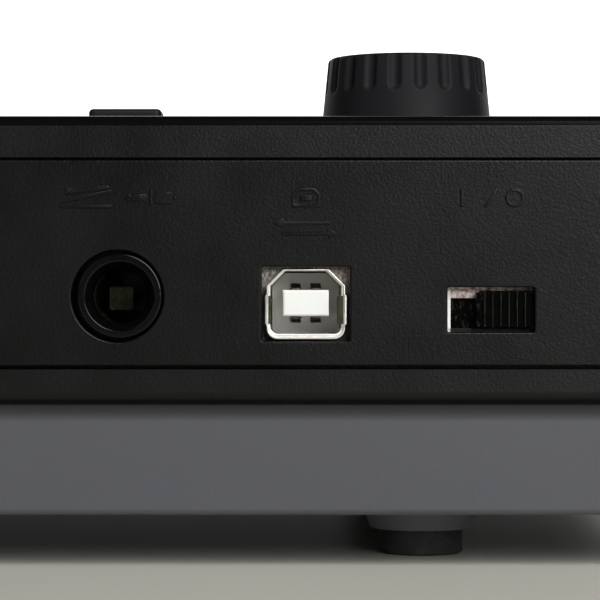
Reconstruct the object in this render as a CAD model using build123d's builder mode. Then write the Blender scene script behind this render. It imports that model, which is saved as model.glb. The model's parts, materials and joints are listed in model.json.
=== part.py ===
"""Compact keyboard controller: a two-octave keyboard with wheels, a volume knob, buttons and rear sockets.

Row frame: +X to the player's right, +Y to the rear, +Z up. The origin is on the surface that the
instrument stands on, under the middle of its case. All lengths are millimetres.
"""

import math
import os

from build123d import *

# ---------------------------------------------------------------- driving dimensions
CASE_W = 470.0
CASE_D = 192.0
WALL = 2.5
CORNER_R = 6.0

FLOOR_GAP = 6.5  # underside of the case above the surface it stands on
SEAM_Z = 19.9  # where the upper case meets the lower case
TOP_Z = 54.82  # rear deck
FRONT_TOP_Z = 49.0  # front of the sloping cheeks
NOSE = 6.0  # bevel where the cheeks meet the front
DECK_BREAK_Y = 42.0  # the deck is level behind this line and slopes in front of it
LOWER_SET_IN = 1.6  # the lower case stands in from the upper one

REAR_Y = CASE_D / 2
FRONT_Y = -CASE_D / 2

# keyboard
OCTAVES = (1, 2)
WHITE_PITCH = 23.6
KEY_GAP = 1.0
KEYS_X0 = -131.5
WHITE_COUNT = 7 * len(OCTAVES) + 1
KEYS_X1 = KEYS_X0 + WHITE_COUNT * WHITE_PITCH
WHITE_TOP_Z = 44.0
WHITE_FRONT_Y = -91.0
BLACK_TOP_Z = 54.8
BLACK_FRONT_Y = -43.0
BLACK_W = 11.6
BLACK_TOP_W = 9.4
BLACK_SIDE_GAP = 0.9
SHOULDER_Y = BLACK_FRONT_Y - BLACK_SIDE_GAP
STEM_END_Y = 46.5
CAP_END_Y = 40.0
KEY_SKIRT = 14.0
KEY_WALL = 2.0
KEY_PLATE = 2.4
KEY_UNDER_Z = WHITE_TOP_Z - KEY_SKIRT
TAIL_W = 8.6
TAIL_END_Y = 63.5
TAIL_Z0 = 28.0
TAIL_Z1 = 40.0
PIVOT_Y = 54.0
PIVOT_Z = 33.5
ROD_R = 1.5
ROD_CLEARANCE = 0.05
PLUNGER_Y = -1.0
PLUNGER_Z = 21.8
SPRING_PAD_Y = 19.0
SPRING_PAD_Z = 32.9

# key chassis, in the lower case
CHASSIS_Z = 12.0
CHASSIS_T = 2.5
CHASSIS_TOP = CHASSIS_Z + CHASSIS_T
CHASSIS_Y0 = -88.0
CHASSIS_Y1 = 64.5
RIB_T = 2.0
FELT_T = 2.4
WHITE_STOP_Y = -80.0
WHITE_STOP_Z = 20.8  # top of the felt that a pressed white key lands on
BLACK_STOP_Y = -33.0
BLACK_STOP_Z = 23.3
UP_STOP_Y = 61.5
UP_STOP_Z = 27.95

# the opening that the keys fill
WELL_X0 = KEYS_X0 - 1.0
WELL_X1 = KEYS_X1 + 1.0
WELL_Y0 = FRONT_Y + WALL
WELL_Y1 = DECK_BREAK_Y
FRONT_RAIL_Z = 30.5
LIP_Z = 45.5  # underside of the deck's lip over the keys

# rear panel and what shows in it
PANEL_Z0 = 24.2
PANEL_Z1 = 49.75
PANEL_HALF_W = 227.0
PANEL_T = 2.3
PANEL_SET_IN = 0.2
PANEL_GAP = 0.2  # at each end of the strip
PANEL_GAP_BELOW = 0.4
PANEL_GAP_ABOVE = 0.27
PANEL_FACE_Y = REAR_Y - PANEL_SET_IN
SOCKETS_X = -180.0  # middle of the group of sockets
JACK_X = SOCKETS_X + 21.76
JACK_HOLE_X = JACK_X + 0.25  # the nose stands a little off the middle of its hole
JACK_Z = 33.05
JACK_HOLE_R = 5.57
JACK_NOSE_R = 5.2
JACK_BORE_R = 3.25
USB_X = SOCKETS_X - 0.7
USB_Z = 32.1
USB_OPENING = (10.65, 9.0)
SWITCH_X = SOCKETS_X - 23.05
SWITCH_Z = 31.4
SWITCH_OPENING = (10.5, 5.4)
SWITCH_TRAVEL = 3.1

# deck controls
CONTROLS_Y = 69.0
KNOB_X = SOCKETS_X - 13.95
KNOB_TOP_Z = 64.55
KNOB_BASE_Z = TOP_Z + 0.6
KNOB_R0 = 11.07
KNOB_R1 = 10.2
KNOB_FLUTES = 20
POT_SHAFT_R = 3.0
BUTTON_COUNT = 4
BUTTON_X0 = SOCKETS_X + 22.77
BUTTON_PITCH = 22.0
BUTTON_SIZE = (9.5, 6.0)
BUTTON_TOP_Z = TOP_Z + 2.65
BUTTON_TRAVEL = 0.8
LED_Y = CONTROLS_Y - 7.0
LED_SIZE = (4.0, 1.5)

# performance wheels
WHEEL_XS = {"pitch": -205.0, "mod": -177.0}
WHEEL_Y = -5.0
WHEEL_Z = 40.0
WHEEL_R = 22.0
WHEEL_T = 11.0
WHEEL_NOTCH_R = 7.5
WHEEL_NOTCH_DEEP = 2.6
WHEEL_SLOT = (12.6, 42.0)
WHEEL_STUB_R = 3.0
UPRIGHT_T = 2.5
UPRIGHT_OFFSET = 9.5
MOD_REST_TURN = 27.0

# circuit boards
BOARD_T = 1.6
MAIN_BOARD_Z = 23.2
MAIN_BOARD_X = (-224.0, -132.0)
MAIN_BOARD_Y = (66.5, 91.0)
PANEL_BOARD_Z = 44.4
PANEL_BOARD_X = (-212.0, -84.0)
PANEL_BOARD_Y = (52.0, 88.0)

# feet: a moulded boss with a rubber plug
FOOT_XS = (SOCKETS_X - 15.65, -(SOCKETS_X - 15.65))
FOOT_YS = (74.0, -74.0)
FOOT_BOSS_R0 = 7.75
FOOT_BOSS_R1 = 6.65
FOOT_BOSS_Z = 3.3
FOOT_R = 5.35
FOOT_RECESS = 1.5

# case screws, driven from below
CASE_SCREWS = [(-227, 58), (-70, 84), (80, 84), (227, 58), (-227, -84), (-142, -84), (228.9, -84)]
SCREW_R = 1.5
SCREW_HEAD_R = 3.0
SCREW_HEAD_H = 2.2
TOWER_R = 4.2
BOSS_R = 3.0

FLOOR_Z = FLOOR_GAP + WALL  # inside floor of the lower case


# ---------------------------------------------------------------- helpers
def box(x, y, z, mode=Mode.ADD):
    """A block between two corners, each axis given as (low, high)."""
    centre = (sum(x) / 2, sum(y) / 2, sum(z) / 2)
    with Locations(centre):
        return Box(x[1] - x[0], y[1] - y[0], z[1] - z[0], mode=mode)


def post(x, y, z, radius, mode=Mode.ADD):
    """An upright cylinder between two heights."""
    with Locations((x, y, (z[0] + z[1]) / 2)):
        return Cylinder(radius, z[1] - z[0], mode=mode)


def posts(places, z, radius, mode=Mode.ADD):
    """Upright cylinders at several places, all between the same two heights."""
    with Locations(*[(x, y, (z[0] + z[1]) / 2) for x, y in places]):
        return Cylinder(radius, z[1] - z[0], mode=mode)


def rod_x(x, y, z, radius, mode=Mode.ADD):
    """A cylinder lying along X, x given as (low, high)."""
    with Locations(Location((sum(x) / 2, y, z), (0, 90, 0))):
        return Cylinder(radius, x[1] - x[0], mode=mode)


def rod_y(x, y, z, radius, mode=Mode.ADD):
    """A cylinder lying along Y, y given as (low, high)."""
    with Locations(Location((x, sum(y) / 2, z), (90, 0, 0))):
        return Cylinder(radius, y[1] - y[0], mode=mode)


def around(centre, width):
    """(low, high) of a span of some width about its centre."""
    return (centre - width / 2, centre + width / 2)


def deck_z(y):
    """Height of the deck's outer face."""
    if y >= DECK_BREAK_Y:
        return TOP_Z
    slope = (TOP_Z - FRONT_TOP_Z) / (DECK_BREAK_Y - FRONT_Y - NOSE)
    return TOP_Z - slope * (DECK_BREAK_Y - y)


def button_xs():
    return [BUTTON_X0 + n * BUTTON_PITCH for n in range(BUTTON_COUNT)]


def write(part, name):
    part.label = name
    export_step(part, f"parts/{name}.step")


# ---------------------------------------------------------------- key layout
def key_layout():
    """Every key from left to right, with the spans along X of its head and stem."""
    keys = []
    x = KEYS_X0
    half_black = BLACK_W / 2
    for octave in OCTAVES:
        for letters in ("cde", "fgab"):
            slot = len(letters) * WHITE_PITCH / (2 * len(letters) - 1)
            blacks = [x + (2 * n + 1.5) * slot for n in range(len(letters) - 1)]
            for n, letter in enumerate(letters):
                head = (x + n * WHITE_PITCH + KEY_GAP / 2, x + (n + 1) * WHITE_PITCH - KEY_GAP / 2)
                left = head[0] if n == 0 else blacks[n - 1] + half_black + BLACK_SIDE_GAP
                last = n == len(letters) - 1
                right = head[1] if last else blacks[n] - half_black - BLACK_SIDE_GAP
                keys.append({"name": f"key_{letter}{octave}", "black": False, "head": head, "stem": (left, right)})
                if not last:
                    span = around(blacks[n], BLACK_W)
                    keys.append({"name": f"key_{letter}_sharp{octave}", "black": True, "head": span, "stem": span})
            x += len(letters) * WHITE_PITCH
    head = (x + KEY_GAP / 2, x + WHITE_PITCH - KEY_GAP / 2)
    keys.append({"name": f"key_c{OCTAVES[-1] + 1}", "black": False, "head": head, "stem": head})
    for key in keys:
        key["tail_x"] = sum(key["stem"]) / 2
    return keys


def key_plan(head, stem, front, inset=0.0):
    """Plan outline of a white key: a wide head with a narrower stem behind it."""
    with BuildSketch() as plan:
        with Locations((sum(head) / 2, (front + SHOULDER_Y) / 2)):
            Rectangle(head[1] - head[0] - 2 * inset, SHOULDER_Y - front - 2 * inset)
        stem_front = SHOULDER_Y - KEY_WALL - inset
        with Locations((sum(stem) / 2, (stem_front + STEM_END_Y - inset) / 2)):
            Rectangle(stem[1] - stem[0] - 2 * inset, STEM_END_Y - inset - stem_front)
    return plan.sketch


def key_underside(stem, tail_x, ceiling):
    """Adds what both kinds of key carry below: the tail with its bore, the plunger and the spring pad."""
    box(around(tail_x, TAIL_W), (STEM_END_Y - KEY_WALL, TAIL_END_Y), (TAIL_Z0, TAIL_Z1))
    inner = (stem[0] + KEY_WALL / 2, stem[1] - KEY_WALL / 2)
    box(inner, around(PLUNGER_Y, KEY_WALL), (KEY_UNDER_Z + 2, ceiling))
    box(around(tail_x, 4.0), around(PLUNGER_Y, 4.0), (PLUNGER_Z, ceiling))
    box(inner, around(SPRING_PAD_Y, KEY_WALL), (SPRING_PAD_Z, ceiling))
    rod_x(around(tail_x, TAIL_W + 2), PIVOT_Y, PIVOT_Z, ROD_R + ROD_CLEARANCE, Mode.SUBTRACT)


def white_key(head, stem, tail_x):
    """A moulded white key, hollow below, with an overhanging front lip."""
    lip_h = 3.6
    lip_out = 1.3
    ceiling = WHITE_TOP_Z - KEY_PLATE
    with BuildPart() as key:
        with BuildSketch(Plane.XY.offset(WHITE_TOP_Z)):
            add(key_plan(head, stem, WHITE_FRONT_Y))
        extrude(amount=-KEY_SKIRT)
        box(head, (WHITE_FRONT_Y, WHITE_FRONT_Y + lip_out), (KEY_UNDER_Z, WHITE_TOP_Z - lip_h), Mode.SUBTRACT)
        fillet(key.faces().sort_by(Axis.Z)[-1].outer_wire().edges(), 0.7)
        with BuildSketch(Plane.XY.offset(KEY_UNDER_Z)):
            add(key_plan(head, stem, WHITE_FRONT_Y + lip_out, KEY_WALL))
        extrude(amount=KEY_SKIRT - KEY_PLATE, mode=Mode.SUBTRACT)
        key_underside(stem, tail_x, ceiling)
    return key.part


def black_key(span, tail_x):
    """A moulded black key: a raised cap with drafted sides and a sloping front, on a hollow stem."""
    cap_z0 = WHITE_TOP_Z - 0.5
    slope = 4.5
    half_low = BLACK_W / 2
    half_top = BLACK_TOP_W / 2
    with BuildPart() as key:
        with BuildSketch(Plane.YZ.offset(span[0])):
            with BuildLine():
                Polyline(
                    (BLACK_FRONT_Y, cap_z0),
                    (BLACK_FRONT_Y + slope, BLACK_TOP_Z),
                    (CAP_END_Y - 0.4, BLACK_TOP_Z),
                    (CAP_END_Y, cap_z0),
                    close=True,
                )
            make_face()
        extrude(amount=BLACK_W)
        with BuildSketch(Plane.XZ):
            with BuildLine():
                Polyline(
                    (tail_x - half_low, cap_z0 - 1),
                    (tail_x - half_low, cap_z0),
                    (tail_x - half_top, BLACK_TOP_Z),
                    (tail_x + half_top, BLACK_TOP_Z),
                    (tail_x + half_low, cap_z0),
                    (tail_x + half_low, cap_z0 - 1),
                    close=True,
                )
            make_face()
        extrude(amount=CASE_D, both=True, mode=Mode.INTERSECT)
        fillet(key.faces().sort_by(Axis.Z)[-1].outer_wire().edges(), 1.3)
        box(span, (BLACK_FRONT_Y, STEM_END_Y), (KEY_UNDER_Z, cap_z0))
        hollow_x = (span[0] + KEY_WALL, span[1] - KEY_WALL)
        box(hollow_x, (BLACK_FRONT_Y + 3.6, CAP_END_Y - 3.0), (KEY_UNDER_Z, BLACK_TOP_Z - 4.0), Mode.SUBTRACT)
        key_underside(span, tail_x, WHITE_TOP_Z)
    return key.part


# ---------------------------------------------------------------- case
def side_outline(bottom, inset=0.0):
    """Side outline of the upper case, in the YZ plane."""
    with BuildSketch(Plane.YZ) as outline:
        with BuildLine():
            Polyline(
                (REAR_Y, bottom),
                (REAR_Y, TOP_Z),
                (DECK_BREAK_Y, TOP_Z),
                (FRONT_Y + NOSE, FRONT_TOP_Z),
                (FRONT_Y, FRONT_TOP_Z - NOSE),
                (FRONT_Y, bottom),
                close=True,
            )
        make_face()
        if inset:
            offset(amount=-inset, kind=Kind.INTERSECTION)
    return outline.sketch


def upper_case():
    """The top shell: deck, cheeks, front rail and rear wall, with every opening."""
    half = CASE_W / 2
    with BuildPart() as case:
        add(extrude(side_outline(SEAM_Z), amount=half, both=True, mode=Mode.PRIVATE))
        with BuildSketch():
            RectangleRounded(CASE_W, CASE_D, CORNER_R)
        extrude(amount=2 * TOP_Z, mode=Mode.INTERSECT)
        rims = case.edges().filter_by(lambda e: e.center().Z > FRONT_TOP_Z - NOSE - 0.1)
        rims = rims.filter_by(lambda e: e.length < CASE_W * 0.9 or abs(e.center().Y) > REAR_Y - 0.1)
        fillet(rims.filter_by(lambda e: abs(e.tangent_at(0.5).Z) < 0.9), 1.25)
        fillet(case.edges().group_by(Axis.Z)[0], 1.0)

        inside = side_outline(SEAM_Z - 2 * WALL, WALL)
        for x0, x1 in ((-half + WALL, WELL_X0 - WALL), (WELL_X1 + WALL, half - WALL)):
            with BuildSketch(Plane.YZ.offset(x0)):
                add(Plane.YZ.to_local_coords(inside))
            extrude(amount=x1 - x0, mode=Mode.SUBTRACT)
        rear_room = (WELL_Y1 + WALL, REAR_Y - WALL)
        box((-half + WALL, half - WALL), rear_room, (SEAM_Z - 1, TOP_Z - WALL), Mode.SUBTRACT)
        well_x = (WELL_X0, WELL_X1)
        box(well_x, (WELL_Y0, WELL_Y1), (SEAM_Z - 1, TOP_Z + 1), Mode.SUBTRACT)
        box(well_x, (FRONT_Y - 1, WELL_Y0), (FRONT_RAIL_Z, TOP_Z), Mode.SUBTRACT)
        box(well_x, (WELL_Y1 - 1, WELL_Y1 + WALL + 1), (SEAM_Z - 1, LIP_Z), Mode.SUBTRACT)

        for x, y in CASE_SCREWS:
            post(x, y, (SEAM_Z + 0.3, deck_z(y) - 1.2), BOSS_R)
            post(x, y, (SEAM_Z, SEAM_Z + 12), SCREW_R, Mode.SUBTRACT)
        for x in (PANEL_BOARD_X[0] + 4, PANEL_BOARD_X[1] - 4):
            for y in (PANEL_BOARD_Y[0] + 4, PANEL_BOARD_Y[1] - 4):
                post(x, y, (PANEL_BOARD_Z + BOARD_T, TOP_Z - 1.2), 2.6)

        box((-PANEL_HALF_W, PANEL_HALF_W), (REAR_Y - WALL - 1, REAR_Y + 1), (PANEL_Z0, PANEL_Z1), Mode.SUBTRACT)

        with BuildSketch(Plane.XY.offset(TOP_Z)):
            with Locations((KNOB_X, CONTROLS_Y)):
                Circle(POT_SHAFT_R + 1.0)
            with Locations(*[(x, CONTROLS_Y) for x in button_xs()]):
                RectangleRounded(BUTTON_SIZE[0] + 0.5, BUTTON_SIZE[1] + 0.5, 0.9)
            with Locations(*[(x, LED_Y) for x in button_xs()]):
                Rectangle(*LED_SIZE)
            with Locations(*[(x, WHEEL_Y) for x in WHEEL_XS.values()]):
                RectangleRounded(*WHEEL_SLOT, 1.2)
        extrude(amount=-8.0, mode=Mode.SUBTRACT)
    return case.part


def lower_case():
    """The bottom tray with its foot bosses, screw towers, board standoffs and stiffening ribs."""
    width = CASE_W - 2 * LOWER_SET_IN
    depth = CASE_D - 2 * LOWER_SET_IN
    lip_inset = WALL + 0.15
    lip_t = 1.2
    lip_top = SEAM_Z + 1.5
    with BuildPart() as tray:
        with BuildSketch(Plane.XY.offset(FLOOR_GAP)):
            RectangleRounded(width, depth, CORNER_R - LOWER_SET_IN)
        extrude(amount=SEAM_Z - FLOOR_GAP)
        fillet(tray.edges().group_by(Axis.Z)[0], 0.8)
        with BuildSketch(Plane.XY.offset(FLOOR_Z)):
            RectangleRounded(width - 2 * WALL, depth - 2 * WALL, CORNER_R - LOWER_SET_IN - WALL)
        extrude(amount=SEAM_Z, mode=Mode.SUBTRACT)
        with BuildSketch(Plane.XY.offset(SEAM_Z - lip_t)):
            RectangleRounded(CASE_W - 2 * lip_inset, CASE_D - 2 * lip_inset, CORNER_R - lip_inset)
            inner = lip_inset + lip_t
            RectangleRounded(CASE_W - 2 * inner, CASE_D - 2 * inner, CORNER_R - inner, mode=Mode.SUBTRACT)
        extrude(amount=lip_top - SEAM_Z + lip_t)

        rib_h = 1.8
        for y in (-60.0, -12.0, 30.0):
            box((-half_inside(), half_inside()), around(y, 1.6), (FLOOR_Z, FLOOR_Z + rib_h))
        for x in (-145.0, -60.0, 25.0, 110.0):
            box(around(x, 1.6), (-half_inside(CASE_D), half_inside(CASE_D)), (FLOOR_Z, FLOOR_Z + rib_h))

        with Locations(*[(x, y, (FOOT_BOSS_Z + FLOOR_GAP) / 2) for x in FOOT_XS for y in FOOT_YS]):
            Cone(FOOT_BOSS_R1, FOOT_BOSS_R0, FLOOR_GAP - FOOT_BOSS_Z)
        foot_places = [(x, y) for x in FOOT_XS for y in FOOT_YS]
        posts(foot_places, (FOOT_BOSS_Z - 1, FOOT_BOSS_Z + FOOT_RECESS), FOOT_R, Mode.SUBTRACT)

        posts(CASE_SCREWS, (FLOOR_Z - 0.5, SEAM_Z), TOWER_R)
        posts(chassis_screws(), (FLOOR_Z - 0.5, CHASSIS_Z), TOWER_R)
        posts(main_board_screws(), (FLOOR_Z - 0.5, MAIN_BOARD_Z), 2.8)
        posts(CASE_SCREWS, (SEAM_Z, lip_top + 1), BOSS_R + 0.3, Mode.SUBTRACT)
        for x in (WELL_X0 - WALL / 2, WELL_X1 + WALL / 2):
            box(around(x, WALL + 0.6), (WELL_Y0, WELL_Y0 + 2 * WALL), (SEAM_Z, lip_top + 1), Mode.SUBTRACT)
        posts(CASE_SCREWS, (FLOOR_GAP - 1, SEAM_Z - 4.0), SCREW_HEAD_R + 0.3, Mode.SUBTRACT)
        posts(CASE_SCREWS, (FLOOR_GAP, SEAM_Z + 3), SCREW_R + 0.15, Mode.SUBTRACT)
        posts(chassis_screws(), (FLOOR_Z, CHASSIS_Z + 1), SCREW_R, Mode.SUBTRACT)
        posts(main_board_screws(), (MAIN_BOARD_Z - 8, MAIN_BOARD_Z + 1), SCREW_R, Mode.SUBTRACT)
    return tray.part


def half_inside(size=CASE_W):
    """Half of the lower case's inside width or depth, run a little into its walls."""
    return size / 2 - LOWER_SET_IN - WALL + 0.5


def chassis_screws():
    return [(x, y) for x in (KEYS_X0 + 6, 46.0, KEYS_X1 - 6) for y in (-56.0, 30.0)]


def main_board_screws():
    return [(x, y) for x in (MAIN_BOARD_X[0] + 4, MAIN_BOARD_X[1] - 4) for y in (MAIN_BOARD_Y[0] + 4,)]


def panel_board_screws():
    return [
        (x, y)
        for x in (PANEL_BOARD_X[0] + 4, PANEL_BOARD_X[1] - 4)
        for y in (PANEL_BOARD_Y[0] + 4, PANEL_BOARD_Y[1] - 4)
    ]


def rear_panel():
    """The strip that carries the sockets, held in the rear wall by a flange above and below."""
    flange = 2.0
    flange_t = 1.8
    inner_y = REAR_Y - WALL
    with BuildPart() as panel:
        box(
            (-PANEL_HALF_W + PANEL_GAP, PANEL_HALF_W - PANEL_GAP),
            (inner_y - flange_t, PANEL_FACE_Y),
            (PANEL_Z0 + PANEL_GAP_BELOW, PANEL_Z1 - PANEL_GAP_ABOVE),
        )
        box(
            (-PANEL_HALF_W - flange, PANEL_HALF_W + flange),
            (inner_y - flange_t, inner_y),
            (PANEL_Z0 - flange, PANEL_Z1 + flange),
        )
        box(
            (-PANEL_HALF_W + 3, PANEL_HALF_W - 3),
            (inner_y - flange_t - 1, PANEL_FACE_Y - PANEL_T),
            (PANEL_Z0 + 1.5, PANEL_Z1 - 1.5),
            Mode.SUBTRACT,
        )
        with BuildSketch(Plane.XZ.offset(-PANEL_FACE_Y)):
            with Locations((JACK_HOLE_X, JACK_Z)):
                Circle(JACK_HOLE_R)
            with Locations((USB_X, USB_Z)):
                RectangleRounded(*USB_OPENING, 0.25)
            with Locations((SWITCH_X, SWITCH_Z)):
                RectangleRounded(*SWITCH_OPENING, 0.25)
        extrude(amount=PANEL_T + 1, mode=Mode.SUBTRACT)
        for x in (-60.0, 60.0, 180.0):
            box(around(x, 1.6), (inner_y - flange_t, PANEL_FACE_Y - PANEL_T), (PANEL_Z0 + 1, PANEL_Z1 - 1))
    return panel.part


def rubber_feet():
    """Four rubber plugs pressed into the bosses, with a rounded bottom edge."""
    with BuildPart() as feet:
        with Locations(*[(x, y, (FOOT_BOSS_Z + FOOT_RECESS) / 2) for x in FOOT_XS for y in FOOT_YS]):
            Cylinder(FOOT_R, FOOT_BOSS_Z + FOOT_RECESS)
        fillet(feet.edges().group_by(Axis.Z)[0], 0.5)
    return feet.part


def screws():
    """Case screws up into the upper case, and those of the key chassis and both boards."""
    head_z = SEAM_Z - 4.0
    with BuildPart() as fixings:
        posts(CASE_SCREWS, (head_z - SCREW_HEAD_H, head_z), SCREW_HEAD_R)
        posts(CASE_SCREWS, (head_z, SEAM_Z + 11), SCREW_R)
        with Locations(*[(x, y, head_z - SCREW_HEAD_H) for x, y in CASE_SCREWS]):
            Box(3.4, 0.8, 2.0, mode=Mode.SUBTRACT)
            Box(0.8, 3.4, 2.0, mode=Mode.SUBTRACT)
        posts(chassis_screws(), (CHASSIS_TOP, CHASSIS_TOP + SCREW_HEAD_H), SCREW_HEAD_R)
        posts(chassis_screws(), (FLOOR_Z + 0.3, CHASSIS_TOP), SCREW_R)
        board_top = MAIN_BOARD_Z + BOARD_T
        posts(main_board_screws(), (board_top, board_top + SCREW_HEAD_H), SCREW_HEAD_R - 0.4)
        posts(main_board_screws(), (MAIN_BOARD_Z - 7.5, board_top), SCREW_R)
        posts(panel_board_screws(), (PANEL_BOARD_Z - SCREW_HEAD_H, PANEL_BOARD_Z), SCREW_HEAD_R - 0.4)
        posts(panel_board_screws(), (PANEL_BOARD_Z, PANEL_BOARD_Z + BOARD_T), SCREW_R)
    return fixings.part


# ---------------------------------------------------------------- keybed
def chassis_ribs(keys):
    """Places along X of the ribs that hold the pivot rod, one on each side of every key's tail."""
    tails = [key["tail_x"] for key in keys]
    between = [(a + b) / 2 for a, b in zip(tails, tails[1:])]
    return [KEYS_X0 + 1.5, *between, KEYS_X1 - 1.5]


def key_chassis(keys):
    """The moulded frame under the keys: base, guide posts, stop ridges and pivot ribs."""
    span = (KEYS_X0, KEYS_X1)
    with BuildPart() as chassis:
        box(span, (CHASSIS_Y0, CHASSIS_Y1), (CHASSIS_Z, CHASSIS_TOP))
        box(span, around(WHITE_STOP_Y, 8.0), (CHASSIS_TOP, WHITE_STOP_Z - FELT_T))
        box(span, around(BLACK_STOP_Y, 6.0), (CHASSIS_TOP, BLACK_STOP_Z - FELT_T))
        box(span, (CHASSIS_Y1 - 5.5, CHASSIS_Y1), (CHASSIS_TOP, UP_STOP_Z - FELT_T))
        with BuildSketch(Plane.XY.offset(CHASSIS_TOP)):
            with Locations(*[(x, 53.9) for x in chassis_ribs(keys)]):
                Rectangle(RIB_T, 9.8)
        extrude(amount=PIVOT_Z + 4.0 - CHASSIS_TOP)
        for black, post_y, top in ((True, -22.0, 40.0), (False, -68.0, 31.0)):
            with BuildSketch(Plane.XY.offset(CHASSIS_TOP)):
                with Locations(*[(sum(k["head"]) / 2, post_y) for k in keys if k["black"] is black]):
                    Rectangle(5.0, 5.0)
            extrude(amount=top - CHASSIS_TOP)
        rod_x((KEYS_X0 - 1, KEYS_X1 + 1), PIVOT_Y, PIVOT_Z, ROD_R + 0.02, Mode.SUBTRACT)
        for x, y in chassis_screws():
            post(x, y, (CHASSIS_Z - 1, CHASSIS_TOP + 1), SCREW_R + 0.1, Mode.SUBTRACT)
    return chassis.part


def key_pivot_rod():
    with BuildPart() as rod:
        rod_x((KEYS_X0 + 0.2, KEYS_X1 - 0.2), PIVOT_Y, PIVOT_Z, ROD_R)
    return rod.part


def key_stop_felts():
    """Felt strips that the pressed white and black keys land on, and that the tails rest on."""
    strips = (
        (WHITE_STOP_Y, 8.0, WHITE_STOP_Z),
        (BLACK_STOP_Y, 6.0, BLACK_STOP_Z),
        (CHASSIS_Y1 - 2.75, 5.5, UP_STOP_Z),
    )
    with BuildPart() as felts:
        for y, width, top in strips:
            box((KEYS_X0, KEYS_X1), around(y, width), (top - FELT_T, top))
    return felts.part


def key_return_springs(keys):
    """One comb of spring steel with a finger under every key."""
    finger_w = 4.0
    t = 0.6
    base_y = (39.5, 46.5)
    tip_z = SPRING_PAD_Z - 0.05
    with BuildPart() as comb:
        box((KEYS_X0 + 1, KEYS_X1 - 1), base_y, (CHASSIS_TOP, CHASSIS_TOP + t))
        for key in keys:
            with BuildSketch(Plane.YZ.offset(key["tail_x"] - finger_w / 2)):
                with BuildLine():
                    Polyline(
                        (base_y[0] + 2, CHASSIS_TOP),
                        (base_y[0] + 2, CHASSIS_TOP + t),
                        (SPRING_PAD_Y + 2.0, tip_z),
                        (SPRING_PAD_Y - 2.0, tip_z),
                        (SPRING_PAD_Y - 2.0, tip_z - t),
                        (SPRING_PAD_Y + 1.6, tip_z - t),
                        (base_y[0], CHASSIS_TOP),
                        close=True,
                    )
                make_face()
            extrude(amount=finger_w)
    return comb.part


def key_contact_board():
    """The board of printed contacts that runs under all the keys."""
    top = CHASSIS_TOP + BOARD_T
    with BuildPart() as board:
        box((KEYS_X0 + 1, KEYS_X1 - 1), (-14.0, 11.0), (CHASSIS_TOP, top))
        box((KEYS_X0 + 3, KEYS_X0 + 11), (6.6, 10.6), (top, top + 2.6))
    return board.part


def contact_dome_strip(keys):
    """The silicone strip with one hollow switch dome under every key."""
    base = CHASSIS_TOP + BOARD_T
    web = 1.0
    dome_top = PLUNGER_Z - 0.2
    with BuildPart() as strip:
        box((KEYS_X0 + 2, KEYS_X1 - 2), around(PLUNGER_Y, 14.0), (base, base + web))
        for key in keys:
            with Locations((key["tail_x"], PLUNGER_Y, (base + web + dome_top) / 2)):
                Cone(4.6, 2.6, dome_top - base - web)
                with Locations((0, 0, -0.9)):
                    Cone(3.6, 1.6, dome_top - base - web - 1.8, mode=Mode.SUBTRACT)
    return strip.part


# ---------------------------------------------------------------- sockets and power switch
def usb_outline(width, height, cut, corner):
    """The keyed outline of the square data socket: two chamfers above, small corners below."""
    with BuildSketch() as outline:
        Rectangle(width, height)
        chamfer(outline.vertices().group_by(Axis.Y)[-1], cut)
        fillet(outline.vertices().group_by(Axis.Y)[0], corner)
    return outline.sketch


def usb_socket_shell():
    """The plated shell: keyed tube with a flared rim, side windows and a front plate behind the panel."""
    t = 0.35
    inner = (8.45, 7.78)
    rim_y = PANEL_FACE_Y - 0.7
    facing = Plane((USB_X, rim_y, USB_Z), x_dir=(1, 0, 0), z_dir=(0, -1, 0))
    with BuildPart() as shell:
        with BuildSketch(facing):
            add(usb_outline(inner[0] + 2 * t, inner[1] + 2 * t, 1.63 + 0.41 * t, 0.9 + t))
        extrude(amount=16.0)
        with BuildSketch(facing):
            add(usb_outline(9.6, 8.66, 1.85, 1.4))
        extrude(amount=0.4, taper=20)
        box(around(USB_X, 12.0), (PANEL_FACE_Y - PANEL_T - 0.5, PANEL_FACE_Y - PANEL_T - 0.1), around(USB_Z, 10.6))
        with BuildSketch(facing):
            add(usb_outline(*inner, 1.63, 0.9))
        extrude(amount=16.0, mode=Mode.SUBTRACT)
        with BuildSketch(facing):
            add(usb_outline(inner[0] + 0.5, inner[1] + 0.3, 1.72, 1.05))
        extrude(amount=0.5, taper=26, mode=Mode.SUBTRACT)
        for side in (-1, 1):
            wall_x = USB_X + side * (inner[0] / 2 + t / 2)
            box(around(wall_x, 2 * t), (rim_y - 7.5, rim_y - 1.2), around(USB_Z - 0.6, 3.7), Mode.SUBTRACT)
    return shell.part


def usb_socket_insulator():
    """The white block in the shell, with the tongue that carries the contacts."""
    inner = (8.35, 7.68)
    rim_y = PANEL_FACE_Y - 0.7
    block_y = rim_y - 9.6
    tongue = (5.6, 3.18)
    facing = Plane((USB_X, block_y, USB_Z), x_dir=(1, 0, 0), z_dir=(0, -1, 0))
    with BuildPart() as block:
        with BuildSketch(facing):
            add(usb_outline(*inner, 1.6, 0.85))
        extrude(amount=6.3)
        box(around(USB_X, tongue[0]), (block_y - 1, rim_y - 0.9), around(USB_Z + 0.1, tongue[1]))
        front = block.faces().filter_by(Axis.Y).sort_by(Axis.Y)[-1]
        chamfer(front.edges(), 0.2)
        for dx in (-1.25, 1.25):
            for side in (-1, 1):
                slot_z = USB_Z + 0.1 + side * (tongue[1] / 2 + 0.42)
                box(around(USB_X + dx, 1.25), (block_y - 3.0, block_y + 1), around(slot_z, 0.84), Mode.SUBTRACT)
    return block.part


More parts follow.
